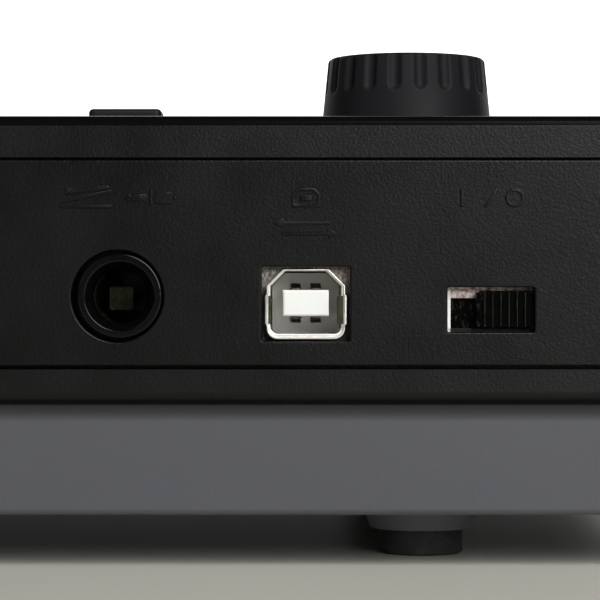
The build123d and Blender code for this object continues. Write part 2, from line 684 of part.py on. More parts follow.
def usb_socket_contacts():
    """Four gilt contacts lying on the tongue and turned down to the board as pins."""
    rim_y = PANEL_FACE_Y - 0.7
    back_y = rim_y - 16.0
    t = 0.25
    with BuildPart() as contacts:
        for dx in (-1.25, 1.25):
            for side in (-1, 1):
                z = USB_Z + 0.1 + side * (3.18 / 2 + t / 2)
                box(around(USB_X + dx, 1.0), (rim_y - 12.4, rim_y - 3.0), around(z, t))
            row_y = back_y - 0.7
            box(around(USB_X + dx, 0.8), around(row_y, 0.4), (MAIN_BOARD_Z + BOARD_T, USB_Z + 2))
            row_y = back_y - 1.9
            box(around(USB_X + dx, 0.8), around(row_y, 0.4), (MAIN_BOARD_Z + BOARD_T, USB_Z + 2))
    return contacts.part


def jack_socket_body():
    """The pedal socket: a moulded block with a round nose that shows in the panel."""
    nose_y = PANEL_FACE_Y - 0.35
    block_y = (67.5, 91.0)
    funnel_r = 4.25
    with BuildPart() as jack:
        box(around(JACK_X, 15.6), block_y, (MAIN_BOARD_Z + BOARD_T, JACK_Z + 7.6))
        rod_y(JACK_X, (block_y[1] - 1, nose_y), JACK_Z, JACK_NOSE_R)
        fillet(jack.edges().filter_by(GeomType.CIRCLE).sort_by(Axis.Y)[-1], 0.35)
        rod_y(JACK_X, (block_y[1] - 6.0, nose_y + 1), JACK_Z, JACK_BORE_R, Mode.SUBTRACT)
        with Locations(Location((JACK_X, nose_y - 0.75, JACK_Z), (90, 0, 0))):
            Cone(funnel_r, JACK_BORE_R, 1.5, mode=Mode.SUBTRACT)
        rod_y(JACK_X, (block_y[0] + 1.2, block_y[1] - 5.9), JACK_Z, 5.6, Mode.SUBTRACT)
        box(around(JACK_X, 20.0), (72.0, 82.0), around(JACK_Z, 4.4), Mode.SUBTRACT)
    return jack.part


def jack_socket_contacts():
    """The tip and sleeve springs inside the pedal socket."""
    t = 0.5
    with BuildPart() as contacts:
        for side, y in ((-1, (72.5, 81.5)), (1, (74.0, 80.0))):
            x = JACK_X + side * 6.6
            box(around(x, t), y, around(JACK_Z, 3.6))
            inner_x = JACK_X + side * 2.6
            with BuildSketch(Plane.XY.offset(JACK_Z - 1.8)):
                with BuildLine():
                    Polyline(
                        (x, y[0]),
                        (x, y[0] + t),
                        (inner_x, (y[0] + y[1]) / 2),
                        (x, y[1] - t),
                        (x, y[1]),
                        (inner_x - side * t, (y[0] + y[1]) / 2),
                        close=True,
                    )
                make_face()
            extrude(amount=3.6)
    return contacts.part


def power_switch_frame():
    """The folded steel cover of the slide switch, with the window that its slider stands in."""
    face_y = PANEL_FACE_Y - PANEL_T - 0.1
    t = 0.4
    window = (9.9, 4.5)
    with BuildPart() as frame:
        box(around(SWITCH_X, 19.0), (face_y - 5.0, face_y), around(SWITCH_Z, 7.4))
        box(around(SWITCH_X, 19.0 - 2 * t), (face_y - 6.0, face_y - t), around(SWITCH_Z, 7.4 - 2 * t), Mode.SUBTRACT)
        box(around(SWITCH_X, window[0]), (face_y - 2, face_y + 1), around(SWITCH_Z, window[1]), Mode.SUBTRACT)
    return frame.part


def power_switch_base():
    """The insulating base of the slide switch with its row of solder pins."""
    face_y = PANEL_FACE_Y - PANEL_T - 0.1
    with BuildPart() as base:
        box(around(SWITCH_X, 18.0), (face_y - 5.0, face_y - 3.2), around(SWITCH_Z, 6.4))
        for dx in (-5.0, 0.0, 5.0):
            box(around(SWITCH_X + dx, 0.9), (face_y - 9.0, face_y - 5.0), around(SWITCH_Z, 0.6))
    return base.part


def power_switch_slider():
    """The slider at its off end: a plate behind the window and a ribbed finger piece."""
    face_y = PANEL_FACE_Y - PANEL_T - 0.1
    finger_w = 6.6
    finger_h = 4.2
    centre = SWITCH_X - (9.9 - finger_w) / 2 + 0.1
    groove = 0.45
    with BuildPart() as slider:
        plate = (SWITCH_X - 8.65, SWITCH_X + 5.55)
        box(plate, (face_y - 2.9, face_y - 0.6), around(SWITCH_Z, 6.0))
        box(around(centre, finger_w), (face_y - 1.0, PANEL_FACE_Y - 0.5), around(SWITCH_Z, finger_h))
        for n in range(6):
            x = centre - finger_w / 2 + 0.95 + n * 0.98
            box(around(x, groove), (PANEL_FACE_Y - 1.1, PANEL_FACE_Y), around(SWITCH_Z, finger_h + 1), Mode.SUBTRACT)
    return slider.part


# ---------------------------------------------------------------- boards
def main_board():
    """The processor board that the rear sockets stand on."""
    top = MAIN_BOARD_Z + BOARD_T
    with BuildPart() as board:
        box(MAIN_BOARD_X, MAIN_BOARD_Y, (MAIN_BOARD_Z, top))
        for x, y in main_board_screws():
            post(x, y, (MAIN_BOARD_Z - 1, top + 1), SCREW_R + 0.1, Mode.SUBTRACT)
        box(around(-196.0, 10.0), around(73.5, 9.0), (top, top + 1.4))
        post(-209.0, 72.0, (top, top + 6.5), 2.6)
        post(-209.0, 79.5, (top, top + 6.5), 2.6)
        box(around(-143.0, 12.0), around(78.0, 5.0), (top, top + 3.0))
        box(around(-144.4, 10.4), around(70.6, 4.4), (top, top + 2.4))
    return board.part


def panel_board():
    """The board under the deck with a tact switch and a lamp for every button."""
    top = PANEL_BOARD_Z + BOARD_T
    tact_top = 49.5
    with BuildPart() as board:
        box(PANEL_BOARD_X, PANEL_BOARD_Y, (PANEL_BOARD_Z, top))
        for x in button_xs():
            box(around(x, 6.0), around(CONTROLS_Y, 6.0), (top, tact_top))
            post(x, CONTROLS_Y, (tact_top - 2.4, tact_top + 1), 1.8, Mode.SUBTRACT)
            box(around(x, 3.2), around(LED_Y, 1.6), (top, top + 1.0))
        for x, y in panel_board_screws():
            post(x, y, (PANEL_BOARD_Z - 1, top + 1), SCREW_R + 0.05, Mode.SUBTRACT)
        post(KNOB_X, CONTROLS_Y, (PANEL_BOARD_Z - 1, top + 1), 1.2, Mode.SUBTRACT)
    return board.part


def ribbon_cables():
    """Flat cables between the boards, each folded along its route."""
    t = 0.6
    top = MAIN_BOARD_Z + BOARD_T
    low = CHASSIS_TOP + BOARD_T + 2.6
    with BuildPart() as ribbons:
        for x, width, route in (
            (-143.0, 10.0, [(78.0, top + 3.0), (78.0, 31.0), (84.0, 38.0), (84.0, PANEL_BOARD_Z)]),
            (-144.4, 8.0, [(9.0, low + t / 2), (56.0, low + t / 2), (62.0, 29.5), (70.6, 29.5), (70.6, top + 2.4)]),
        ):
            with BuildLine(Plane.YZ.offset(x)) as path:
                FilletPolyline(*route, radius=2.0)
            start = path.line @ 0
            along = path.line % 0
            with BuildSketch(Plane(start, x_dir=(1, 0, 0), z_dir=along)):
                Rectangle(width, t)
            sweep(path=path.line)
        box((-148.4, KEYS_X0 + 11), (4.6, 12.6), (low, low + t))
    return ribbons.part


# ---------------------------------------------------------------- knob and buttons
def volume_knob():
    """A fluted knob, slightly domed, with a hub bored for the flatted shaft."""
    flute_r = 0.95
    flute_bottom = KNOB_TOP_Z - 4.38
    cutter = Pos(0, 0, 4.0) * Cylinder(flute_r, 8.0) + Sphere(flute_r)
    rim = (KNOB_R1 + 0.08, KNOB_TOP_Z - 1.3)
    shoulder = (KNOB_R1 - 0.85, KNOB_TOP_Z - 0.42)
    dome_r = (shoulder[0] ** 2 + 0.42**2) / (2 * 0.42)
    dome_middle = (shoulder[0] / 2, KNOB_TOP_Z - dome_r + math.sqrt(dome_r**2 - (shoulder[0] / 2) ** 2))
    with BuildPart() as knob:
        with BuildSketch(Plane.XZ):
            with BuildLine():
                Line((0, KNOB_BASE_Z), (KNOB_R0, KNOB_BASE_Z))
                Line((KNOB_R0, KNOB_BASE_Z), rim)
                ThreePointArc(rim, (KNOB_R1 - 0.2, KNOB_TOP_Z - 0.7), shoulder)
                ThreePointArc(shoulder, dome_middle, (0, KNOB_TOP_Z))
                Line((0, KNOB_TOP_Z), (0, KNOB_BASE_Z))
            make_face()
        revolve(axis=Axis.Z)
        for spot in PolarLocations(KNOB_R1 + 0.86, KNOB_FLUTES, start_angle=-82.5):
            add(spot * Location((0, 0, flute_bottom), (0, -5.7, 0)) * cutter, mode=Mode.SUBTRACT)
        post(0, 0, (KNOB_BASE_Z - 1, KNOB_TOP_Z - 2.2), KNOB_R1 - 1.9, Mode.SUBTRACT)
        post(0, 0, (KNOB_BASE_Z + 0.3, KNOB_TOP_Z - 1.2), 4.6)
        post(0, 0, (KNOB_BASE_Z - 1, KNOB_TOP_Z - 1.8), POT_SHAFT_R, Mode.SUBTRACT)
    return knob.part.moved(Location((KNOB_X, CONTROLS_Y, 0)))


def volume_pot_shaft():
    """The turning shaft of the volume control, with its flat."""
    top = KNOB_TOP_Z - 1.9
    with BuildPart() as shaft:
        post(KNOB_X, CONTROLS_Y, (PANEL_BOARD_Z + 2.2, top), POT_SHAFT_R)
        flat_x = (KNOB_X + POT_SHAFT_R - 1.4, KNOB_X + POT_SHAFT_R + 1)
        box(flat_x, around(CONTROLS_Y, 8.0), (top - 6.5, top + 1), Mode.SUBTRACT)
    return shaft.part


def volume_pot_body():
    """The body of the volume control, soldered to the panel board."""
    base = PANEL_BOARD_Z + BOARD_T
    with BuildPart() as pot:
        box(around(KNOB_X, 9.7), around(CONTROLS_Y, 11.0), (base, TOP_Z - WALL - 0.2))
        post(KNOB_X, CONTROLS_Y, (base + 0.5, TOP_Z), POT_SHAFT_R + 0.05, Mode.SUBTRACT)
    return pot.part


def button(x):
    """A rounded key cap with a flange that keeps it under the deck and a stem into its tact switch."""
    under_deck = TOP_Z - WALL
    with BuildPart() as cap:
        with BuildSketch(Plane.XY.offset(under_deck - 1.0)):
            with Locations((x, CONTROLS_Y)):
                RectangleRounded(*BUTTON_SIZE, 0.8)
        extrude(amount=BUTTON_TOP_Z - under_deck + 1.0)
        fillet(cap.edges().group_by(Axis.Z)[-1], 0.55)
        flange = (BUTTON_SIZE[0] + 2.0, BUTTON_SIZE[1] + 1.8)
        box(around(x, flange[0]), around(CONTROLS_Y, flange[1]), (under_deck - 1.1, under_deck - 0.05))
        post(x, CONTROLS_Y, (49.7, under_deck - 1.0), 1.6)
    return cap.part


def led_windows():
    """Clear light guides in the deck in front of the buttons."""
    with BuildPart() as guides:
        for x in button_xs():
            box(around(x, LED_SIZE[0]), around(LED_Y, LED_SIZE[1]), (TOP_Z - WALL - 3.0, TOP_Z - 0.05))
            flange_z = (TOP_Z - WALL - 3.0, TOP_Z - WALL)
            box(around(x, LED_SIZE[0] + 1.6), around(LED_Y, LED_SIZE[1] + 0.6), flange_z)
    return guides.part


# ---------------------------------------------------------------- wheels
def wheel(x, turn):
    """A dished wheel with a finger notch and stub axles. turn leans the notch towards the player."""
    with BuildPart() as disc:
        rod_x(around(0, WHEEL_T), 0, 0, WHEEL_R)
        fillet(disc.edges().filter_by(GeomType.CIRCLE), 1.4)
        for side in (-1, 1):
            face_x = side * WHEEL_T / 2
            dish = (min(face_x, face_x - side * 3.5), max(face_x, face_x - side * 3.5))
            rod_x(dish, 0, 0, WHEEL_R - 4.0, Mode.SUBTRACT)
        notch_z = WHEEL_R + WHEEL_NOTCH_R - WHEEL_NOTCH_DEEP
        rod_x(around(0, WHEEL_T + 2), 0, notch_z, WHEEL_NOTCH_R, Mode.SUBTRACT)
        rod_x(around(0, 2 * UPRIGHT_OFFSET - UPRIGHT_T - 0.6), 0, 0, 6.0)
        rod_x(around(0, 2 * UPRIGHT_OFFSET + UPRIGHT_T + 3.0), 0, 0, WHEEL_STUB_R)
    turned = disc.part.rotate(Axis.X, turn)
    return turned.moved(Location((x, WHEEL_Y, WHEEL_Z)))


def wheel_bracket():
    """The moulded bracket that carries both wheels, standing on the lower case."""
    base_top = FLOOR_Z + 1.8 + 2.6
    with BuildPart() as bracket:
        box((-222.0, -160.0), (-32.0, 22.0), (FLOOR_Z + 1.8, base_top))
        for x in WHEEL_XS.values():
            box(around(x, WHEEL_T + 3.0), around(WHEEL_Y, 30.0), (FLOOR_Z, base_top + 1), Mode.SUBTRACT)
            for side in (-1, 1):
                upright_x = around(x + side * UPRIGHT_OFFSET, UPRIGHT_T)
                with BuildSketch(Plane.YZ.offset(upright_x[0])):
                    with BuildLine():
                        Polyline(
                            (WHEEL_Y - 22, base_top),
                            (WHEEL_Y - 7, WHEEL_Z + 3),
                            (WHEEL_Y - 5, WHEEL_Z + 6),
                            (WHEEL_Y + 5, WHEEL_Z + 6),
                            (WHEEL_Y + 7, WHEEL_Z + 3),
                            (WHEEL_Y + 22, base_top),
                            close=True,
                        )
                    make_face()
                extrude(amount=UPRIGHT_T)
                rod_x((upright_x[0] - 1, upright_x[1] + 1), WHEEL_Y, WHEEL_Z, WHEEL_STUB_R + 0.05, Mode.SUBTRACT)
    return bracket.part


def wheel_pots():
    """The rotary sensor at the outer end of each wheel's axle."""
    reach = UPRIGHT_OFFSET + UPRIGHT_T / 2
    with BuildPart() as pots:
        for x, side in ((WHEEL_XS["pitch"], -1), (WHEEL_XS["mod"], 1)):
            near = x + side * (reach + 0.02)
            far = near + side * 6.5
            rod_x((min(near, far), max(near, far)), WHEEL_Y, WHEEL_Z, 8.0)
            hole_end = near + side * 2.2
            hole = (min(near - side, hole_end), max(near - side, hole_end))
            rod_x(hole, WHEEL_Y, WHEEL_Z, WHEEL_STUB_R + 0.06, Mode.SUBTRACT)
    return pots.part


def pitch_centring_spring():
    """The torsion spring that brings the pitch wheel back to its middle."""
    wire_r = 0.4
    coil_r = 7.0
    pitch = 1.0
    turns = 1.6
    leg = 6.0
    x0 = UPRIGHT_OFFSET - UPRIGHT_T / 2 - 0.5 - pitch * turns
    with BuildPart() as spring:
        with BuildLine() as coil:
            Helix(pitch, pitch * turns, coil_r, center=(x0, 0, 0), direction=(1, 0, 0))
        with BuildSketch(Plane(coil.line @ 0, z_dir=coil.line % 0)):
            Circle(wire_r)
        sweep(path=coil.line)
        for end in (coil.line @ 0, coil.line @ 1):
            outward = Vector(0, end.Y, end.Z).normalized()
            with BuildSketch(Plane(end - outward * wire_r, z_dir=outward)):
                Circle(wire_r)
            extrude(amount=leg)
    turned = spring.part.rotate(Axis.X, 180)
    return turned.moved(Location((WHEEL_XS["pitch"], WHEEL_Y, WHEEL_Z)))


def main():
    os.makedirs("parts", exist_ok=True)
    keys = key_layout()
    write(upper_case(), "upper_case")
    write(lower_case(), "lower_case")
    write(rear_panel(), "rear_panel")
    write(rubber_feet(), "rubber_feet")
    write(screws(), "screws")

    write(key_chassis(keys), "key_chassis")
    write(key_pivot_rod(), "key_pivot_rod")
    write(key_stop_felts(), "key_stop_felts")
    write(key_return_springs(keys), "key_return_springs")
    write(key_contact_board(), "key_contact_board")
    write(contact_dome_strip(keys), "contact_dome_strip")
    for key in keys:
        if key["black"]:
            write(black_key(key["head"], key["tail_x"]), key["name"])
        else:
            write(white_key(key["head"], key["stem"], key["tail_x"]), key["name"])

    write(usb_socket_shell(), "usb_socket_shell")
    write(usb_socket_insulator(), "usb_socket_insulator")
    write(usb_socket_contacts(), "usb_socket_contacts")
    write(jack_socket_body(), "jack_socket_body")
    write(jack_socket_contacts(), "jack_socket_contacts")
    write(power_switch_frame(), "power_switch_frame")
    write(power_switch_base(), "power_switch_base")
    write(power_switch_slider(), "power_switch_slider")
    write(main_board(), "main_board")
    write(panel_board(), "panel_board")
    write(ribbon_cables(), "ribbon_cables")

    write(volume_knob(), "volume_knob")
    write(volume_pot_shaft(), "volume_pot_shaft")
    write(volume_pot_body(), "volume_pot_body")
    for n, x in enumerate(button_xs(), start=1):
        write(button(x), f"button_{n}")
    write(led_windows(), "led_windows")

    write(wheel(WHEEL_XS["pitch"], 0.0), "pitch_wheel")
    write(wheel(WHEEL_XS["mod"], MOD_REST_TURN), "mod_wheel")
    write(wheel_bracket(), "wheel_bracket")
    write(wheel_pots(), "wheel_pots")
    write(pitch_centring_spring(), "pitch_centring_spring")


main()
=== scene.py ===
"""Looks of the compact keyboard controller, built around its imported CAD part.

Everything is in metres in the part's own frame: +X to the player's right, +Y to the rear, +Z up.
"""

import json
import math

import bpy
from mathutils import Matrix, Vector


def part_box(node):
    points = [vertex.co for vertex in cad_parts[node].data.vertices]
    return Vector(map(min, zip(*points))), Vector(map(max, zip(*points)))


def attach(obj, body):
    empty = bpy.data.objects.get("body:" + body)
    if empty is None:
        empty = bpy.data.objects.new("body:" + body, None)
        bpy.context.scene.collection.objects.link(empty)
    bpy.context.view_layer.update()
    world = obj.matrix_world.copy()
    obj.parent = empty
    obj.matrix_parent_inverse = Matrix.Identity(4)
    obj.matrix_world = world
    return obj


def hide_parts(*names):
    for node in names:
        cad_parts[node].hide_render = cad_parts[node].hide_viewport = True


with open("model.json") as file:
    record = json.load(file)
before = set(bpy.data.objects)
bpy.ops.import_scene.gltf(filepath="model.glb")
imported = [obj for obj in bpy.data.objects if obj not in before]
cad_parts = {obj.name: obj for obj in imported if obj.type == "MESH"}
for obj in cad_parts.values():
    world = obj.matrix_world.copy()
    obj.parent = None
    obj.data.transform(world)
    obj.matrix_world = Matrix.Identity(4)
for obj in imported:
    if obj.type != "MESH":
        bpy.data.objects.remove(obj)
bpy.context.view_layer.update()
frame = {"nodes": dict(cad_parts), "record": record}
nodes = frame["nodes"]
MM = 0.001


# ---------------------------------------------------------------- node helpers
class Shader:
    """A small helper that adds nodes to one material's tree and joins them."""

    def __init__(self, name):
        self.material = bpy.data.materials.new(name)
        self.material.use_nodes = True
        self.tree = self.material.node_tree
        self.tree.nodes.clear()
        self.output = self.add("ShaderNodeOutputMaterial")
        self.bsdf = self.add("ShaderNodeBsdfPrincipled")
        self.join(self.bsdf.outputs[0], self.output.inputs["Surface"])
        self.place = self.add("ShaderNodeTexCoord").outputs["Object"]

    def add(self, kind, **settings):
        node = self.tree.nodes.new(kind)
        for key, value in settings.items():
            setattr(node, key, value)
        return node

    def join(self, source, target):
        self.tree.links.new(source, target)

    def stretched(self, scale):
        """Object coordinates scaled by axis."""
        mapping = self.add("ShaderNodeMapping")
        mapping.inputs["Scale"].default_value = scale
        self.join(self.place, mapping.inputs["Vector"])
        return mapping.outputs[0]

    def noise(self, scale, detail=3.0, roughness=0.5, place=None):
        node = self.add("ShaderNodeTexNoise")
        node.inputs["Scale"].default_value = scale
        node.inputs["Detail"].default_value = detail
        node.inputs["Roughness"].default_value = roughness
        self.join(place or self.place, node.inputs["Vector"])
        return node.outputs["Fac"]

    def cells(self, scale, feature="F1", place=None):
        node = self.add("ShaderNodeTexVoronoi", feature=feature)
        node.inputs["Scale"].default_value = scale
        self.join(place or self.place, node.inputs["Vector"])
        return node.outputs["Distance"]

    def span(self, value, low, high, out_low, out_high):
        """Maps value from low..high onto out_low..out_high."""
        node = self.add("ShaderNodeMapRange")
        for name, number in zip(("From Min", "From Max", "To Min", "To Max"), (low, high, out_low, out_high)):
            node.inputs[name].default_value = number
        self.join(value, node.inputs["Value"])
        return node.outputs[0]

    def along(self, axis):
        """The place along X, Y or Z, in metres."""
        node = self.add("ShaderNodeSeparateXYZ")
        self.join(self.place, node.inputs[0])
        return node.outputs[axis]

    def between(self, axis, low, high, blur=0.00008):
        """One between low and high along an axis, nought outside, with a soft edge."""
        place = self.along(axis)
        rise = self.span(place, low - blur, low + blur, 0.0, 1.0)
        fall = self.span(place, high - blur, high + blur, 1.0, 0.0)
        return self.math("MULTIPLY", rise, fall)

    def mix(self, factor, a, b):
        """A colour between a and b, each a fixed colour or a node's output."""
        node = self.add("ShaderNodeMix", data_type="RGBA")
        for socket, colour in ((node.inputs[6], a), (node.inputs[7], b)):
            if isinstance(colour, tuple):
                socket.default_value = (*colour, 1.0)
            else:
                self.join(colour, socket)
        self.join(factor, node.inputs[0])
        return node.outputs[2]

    def math(self, operation, a, b):
        node = self.add("ShaderNodeMath", operation=operation)
        for socket, value in zip(node.inputs, (a, b)):
            if isinstance(value, (int, float)):
                socket.default_value = value
            else:
                self.join(value, socket)
        return node.outputs[0]

    def bump(self, height, distance, strength=1.0, under=None):
        node = self.add("ShaderNodeBump")
        node.inputs["Distance"].default_value = distance
        node.inputs["Strength"].default_value = strength
        self.join(height, node.inputs["Height"])
        if under is not None:
            self.join(under, node.inputs["Normal"])
        return node.outputs[0]

    def set(self, **values):
        for name, value in values.items():
            self.bsdf.inputs[name.replace("_", " ")].default_value = value


def varied(colour, amount):
    """The colour made a little darker and a little lighter."""
    return tuple(c * (1 - amount) for c in colour), tuple(min(1.0, c * (1 + amount)) for c in colour)


# ---------------------------------------------------------------- materials
def moulded_plastic(
    name, colour, roughness, grain, depth, specular=0.5, mottling=0.12,
    smooth_above=None, dusty=False, lip=None, under=None,
):
    """Moulded plastic with a spark-eroded grain: grain is its size and depth its height, in metres.

    Above the height smooth_above the mould was polished. A dusty one has a few pale specks on upright faces.
    lip = (near, far, depth) rolls the surface over as it comes from the height far to the height near.
    under = (height, gain) paints light on it below a height: its colour is made gain times brighter there.
    """
    s = Shader(name)
    pits = s.cells(0.75 / grain)
    fine = s.noise(0.6 / grain, 4.0, 0.6)
    height = s.math("ADD", s.math("MULTIPLY", pits, 0.55), fine)
    broad = s.noise(38.0, 3.0)
    dark, light = varied(colour, mottling)
    speckle = s.math("ADD", s.math("MULTIPLY", fine, 0.55), s.math("MULTIPLY", broad, 0.45))
    base = s.mix(s.span(speckle, 0.3, 0.7, 0.0, 1.0), dark, light)
    if dusty:
        specks = s.cells(62.0, place=s.stretched((1.0, 0.0, 1.0)))
        base = s.mix(s.span(specks, 0.004, 0.009, 0.5, 0.0), base, (0.30, 0.30, 0.29))
    # painted light: the colour is made brighter below a height
    if under:
        below = s.span(s.along("Z"), under[0] - 0.0002, under[0], 1.0, 0.0)
        base = s.mix(below, base, tuple(c * under[1] for c in colour))
    s.join(base, s.bsdf.inputs["Base Color"])
    gloss = s.span(s.noise(120.0, 3.0), 0.3, 0.7, roughness - 0.05, roughness + 0.06)
    if smooth_above is not None:
        grained = s.span(s.along("Z"), smooth_above - 0.00004, smooth_above + 0.00004, 1.0, 0.0)
        height = s.math("MULTIPLY", height, grained)
        gloss = s.math("MULTIPLY", gloss, s.span(grained, 0.0, 1.0, 0.62, 1.0))
        s.join(s.span(grained, 0.0, 1.0, specular * 0.12, specular), s.bsdf.inputs["Specular IOR Level"])
    else:
        s.set(Specular_IOR_Level=specular)
    s.join(gloss, s.bsdf.inputs["Roughness"])
    normal = s.bump(height, depth)
    if lip:
        rolled = s.span(s.along("Z"), lip[0], lip[1], 1.0, 0.0)
        normal = s.bump(s.math("SUBTRACT", 1.0, s.math("MULTIPLY", rolled, rolled)), lip[2], under=normal)
    s.join(normal, s.bsdf.inputs["Normal"])
    return s.material


def smooth_plastic(name, colour, roughness, coat=0.0, specular=0.5):
    """Polished plastic: faint moulding waves, hairline scuffs in its gloss, and a clear sheen."""
    s = Shader(name)
    dark, light = varied(colour, 0.05)
    s.join(s.mix(s.span(s.noise(60.0, 2.0), 0.3, 0.7, 0.0, 1.0), dark, light), s.bsdf.inputs["Base Color"])
    scuffs = s.noise(900.0, 5.0, 0.7, s.stretched((1.0, 0.12, 1.0)))
    s.join(s.span(scuffs, 0.35, 0.75, roughness * 0.8, roughness * 1.35), s.bsdf.inputs["Roughness"])
    s.join(s.bump(s.noise(160.0, 2.0), 0.000032), s.bsdf.inputs["Normal"])
    s.set(Coat_Weight=coat, Coat_Roughness=0.08, Specular_IOR_Level=specular)
    return s.material


def metal(name, colour, roughness, tarnish=None):
    """Plated or drawn metal: fine upright lines, uneven gloss, and a little tarnish."""
    s = Shader(name)
    lines = s.noise(9000.0, 3.0, 0.6, s.stretched((1.0, 1.0, 0.06)))
    blotch = s.noise(900.0, 4.0, 0.6)
    dark = tarnish or tuple(c * 0.72 for c in colour)
    s.join(s.mix(s.span(blotch, 0.42, 0.72, 0.0, 1.0), colour, dark), s.bsdf.inputs["Base Color"])
    uneven = s.math("ADD", s.math("MULTIPLY", lines, 0.5), s.math("MULTIPLY", blotch, 0.5))
    s.join(s.span(uneven, 0.3, 0.7, roughness * 0.7, roughness * 1.4), s.bsdf.inputs["Roughness"])
    s.join(s.bump(lines, 0.000004), s.bsdf.inputs["Normal"])
    s.set(Metallic=1.0)
    return s.material


RUBBER_GRAIN = 0.0003


def rubber(name, colour, roughness=0.8):
    """Matt rubber with a dusty bloom."""
    s = Shader(name)
    dust = s.noise(700.0, 6.0, 0.7)
    dark, light = varied(colour, 0.35)
    s.join(s.mix(s.span(dust, 0.4, 0.75, 0.0, 1.0), dark, light), s.bsdf.inputs["Base Color"])
    s.join(s.span(s.noise(250.0), 0.3, 0.7, roughness - 0.08, roughness + 0.08), s.bsdf.inputs["Roughness"])
    s.join(s.bump(s.noise(1.0 / RUBBER_GRAIN, 3.0), 0.00003), s.bsdf.inputs["Normal"])
    s.set(Specular_IOR_Level=0.3)
    return s.material


def circuit_board(name, colour, copper):
    """Lacquered board: copper tracks show through the solder mask as lighter lines."""
    s = Shader(name)
    tracks = s.add("ShaderNodeTexBrick", offset=0.5, squash=1.0)
    tracks.inputs["Scale"].default_value = 180.0
    tracks.inputs["Mortar Size"].default_value = 0.06
    tracks.inputs["Color1"].default_value = (0.0, 0.0, 0.0, 1.0)
    tracks.inputs["Color2"].default_value = (0.25, 0.25, 0.25, 1.0)
    tracks.inputs["Mortar"].default_value = (1.0, 1.0, 1.0, 1.0)
    s.join(s.place, tracks.inputs["Vector"])
    s.join(s.mix(tracks.outputs["Color"], colour, copper), s.bsdf.inputs["Base Color"])
    s.join(s.span(s.noise(400.0), 0.3, 0.7, 0.25, 0.4), s.bsdf.inputs["Roughness"])
    s.join(s.bump(tracks.outputs["Color"], 0.00004), s.bsdf.inputs["Normal"])
    return s.material


def felt(name, colour):
    """Pressed wool: a fuzzy, mottled surface."""
    s = Shader(name)
    fibres = s.noise(2600.0, 6.0, 0.75)
    dark, light = varied(colour, 0.45)
    s.join(s.mix(s.span(fibres, 0.35, 0.7, 0.0, 1.0), dark, light), s.bsdf.inputs["Base Color"])
    s.join(s.bump(fibres, 0.0002), s.bsdf.inputs["Normal"])
    s.join(s.span(fibres, 0.3, 0.7, 0.85, 1.0), s.bsdf.inputs["Roughness"])
    s.set(Sheen_Weight=0.4)
    return s.material


def clear_lens(name, colour):
    """Clear acrylic with faint haze."""
    s = Shader(name)
    dark, light = varied(colour, 0.06)
    s.join(s.mix(s.noise(500.0, 3.0), dark, light), s.bsdf.inputs["Base Color"])
    s.join(s.span(s.noise(800.0, 3.0), 0.3, 0.7, 0.08, 0.2), s.bsdf.inputs["Roughness"])
    s.set(Transmission_Weight=0.7, IOR=1.49)
    return s.material


def scuffed_black(name, colour):
    """Glossy black plastic, scraped where the slider rubs inside its window, with painted highlights as thin
    light lines along its ribs' edges.
    """
    s = Shader(name)
    scrapes = s.noise(2600.0, 6.0, 0.75, s.stretched((1.0, 1.0, 0.35)))
    patches = s.noise(900.0, 3.0)
    worn = s.between("X", SLIDER_WORN[0], SLIDER_WORN[1], 0.0003)
    worn = s.math("MULTIPLY", worn, s.span(scrapes, 0.52, 0.66, 0.0, 1.0))
    worn = s.math("MULTIPLY", worn, s.span(patches, 0.45, 0.6, 0.0, 0.7))
    base = s.mix(s.span(patches, 0.3, 0.7, 0.0, 1.0), *varied(colour, 0.25))
    # painted highlights: a thin light line at each rib's edge, where the ribs catch the lamps
    off = s.math("PINGPONG", s.math("SUBTRACT", s.along("X"), FIRST_RIB), RIB_PITCH / 2)
    edge = s.math("MULTIPLY", s.span(off, 0.00003, 0.00010, 0.55, 0.0), s.span(scrapes, 0.35, 0.6, 0.35, 1.0))
    edge = s.math("MULTIPLY", edge, s.between("X", FIRST_RIB - 0.0002, FIRST_RIB + RIBS * RIB_PITCH))
    ribbed_with_painted_glints = s.mix(edge, base, (0.105, 0.11, 0.095))
    s.join(s.mix(worn, ribbed_with_painted_glints, (0.10, 0.105, 0.09)), s.bsdf.inputs["Base Color"])
    s.join(s.span(scrapes, 0.3, 0.7, 0.14, 0.26), s.bsdf.inputs["Roughness"])
    s.join(s.bump(worn, 0.00006), s.bsdf.inputs["Normal"])
    s.set(Specular_IOR_Level=0.05)
    return s.material


def painted_shade_steel(name, bright_from, top_z):
    """The switch's folded steel cover, with painted light and shade: bright steel at its painted-lit end,
    rusty brown along its top edge fading into painted shade away from that end, and near-black painted shade
    elsewhere.
    """
    s = Shader(name)
    blotch = s.noise(1500.0, 5.0, 0.65)
    end = s.span(s.along("X"), bright_from - 0.0001, bright_from + 0.0001, 0.0, 1.0)
    # painted shade: the cover darkens away from its bright, painted-lit end
    shade_falloff = s.span(s.along("X"), bright_from - 0.0105, bright_from - 0.003, 0.12, 1.0)
    high = s.span(s.along("Z"), top_z - 0.0002, top_z + 0.0002, 0.0, 1.0)
    rust = s.mix(s.span(blotch, 0.4, 0.62, 0.0, 1.0), (0.26, 0.15, 0.125), (0.90, 0.84, 0.78))
    lit = s.math("MULTIPLY", high, s.math("MULTIPLY", shade_falloff, s.span(blotch, 0.3, 0.5, 0.35, 1.0)))
    # near-black painted shade wherever the cover is not painted lit
    shaded = s.mix(lit, (0.006, 0.004, 0.0035), rust)
    s.join(s.mix(end, shaded, (0.92, 0.92, 0.90)), s.bsdf.inputs["Base Color"])
    s.join(s.span(blotch, 0.3, 0.7, 0.35, 0.6), s.bsdf.inputs["Roughness"])
    s.join(s.bump(blotch, 0.00003), s.bsdf.inputs["Normal"])
    s.join(s.span(end, 0.0, 1.0, 0.55, 0.35), s.bsdf.inputs["Metallic"])
    return s.material


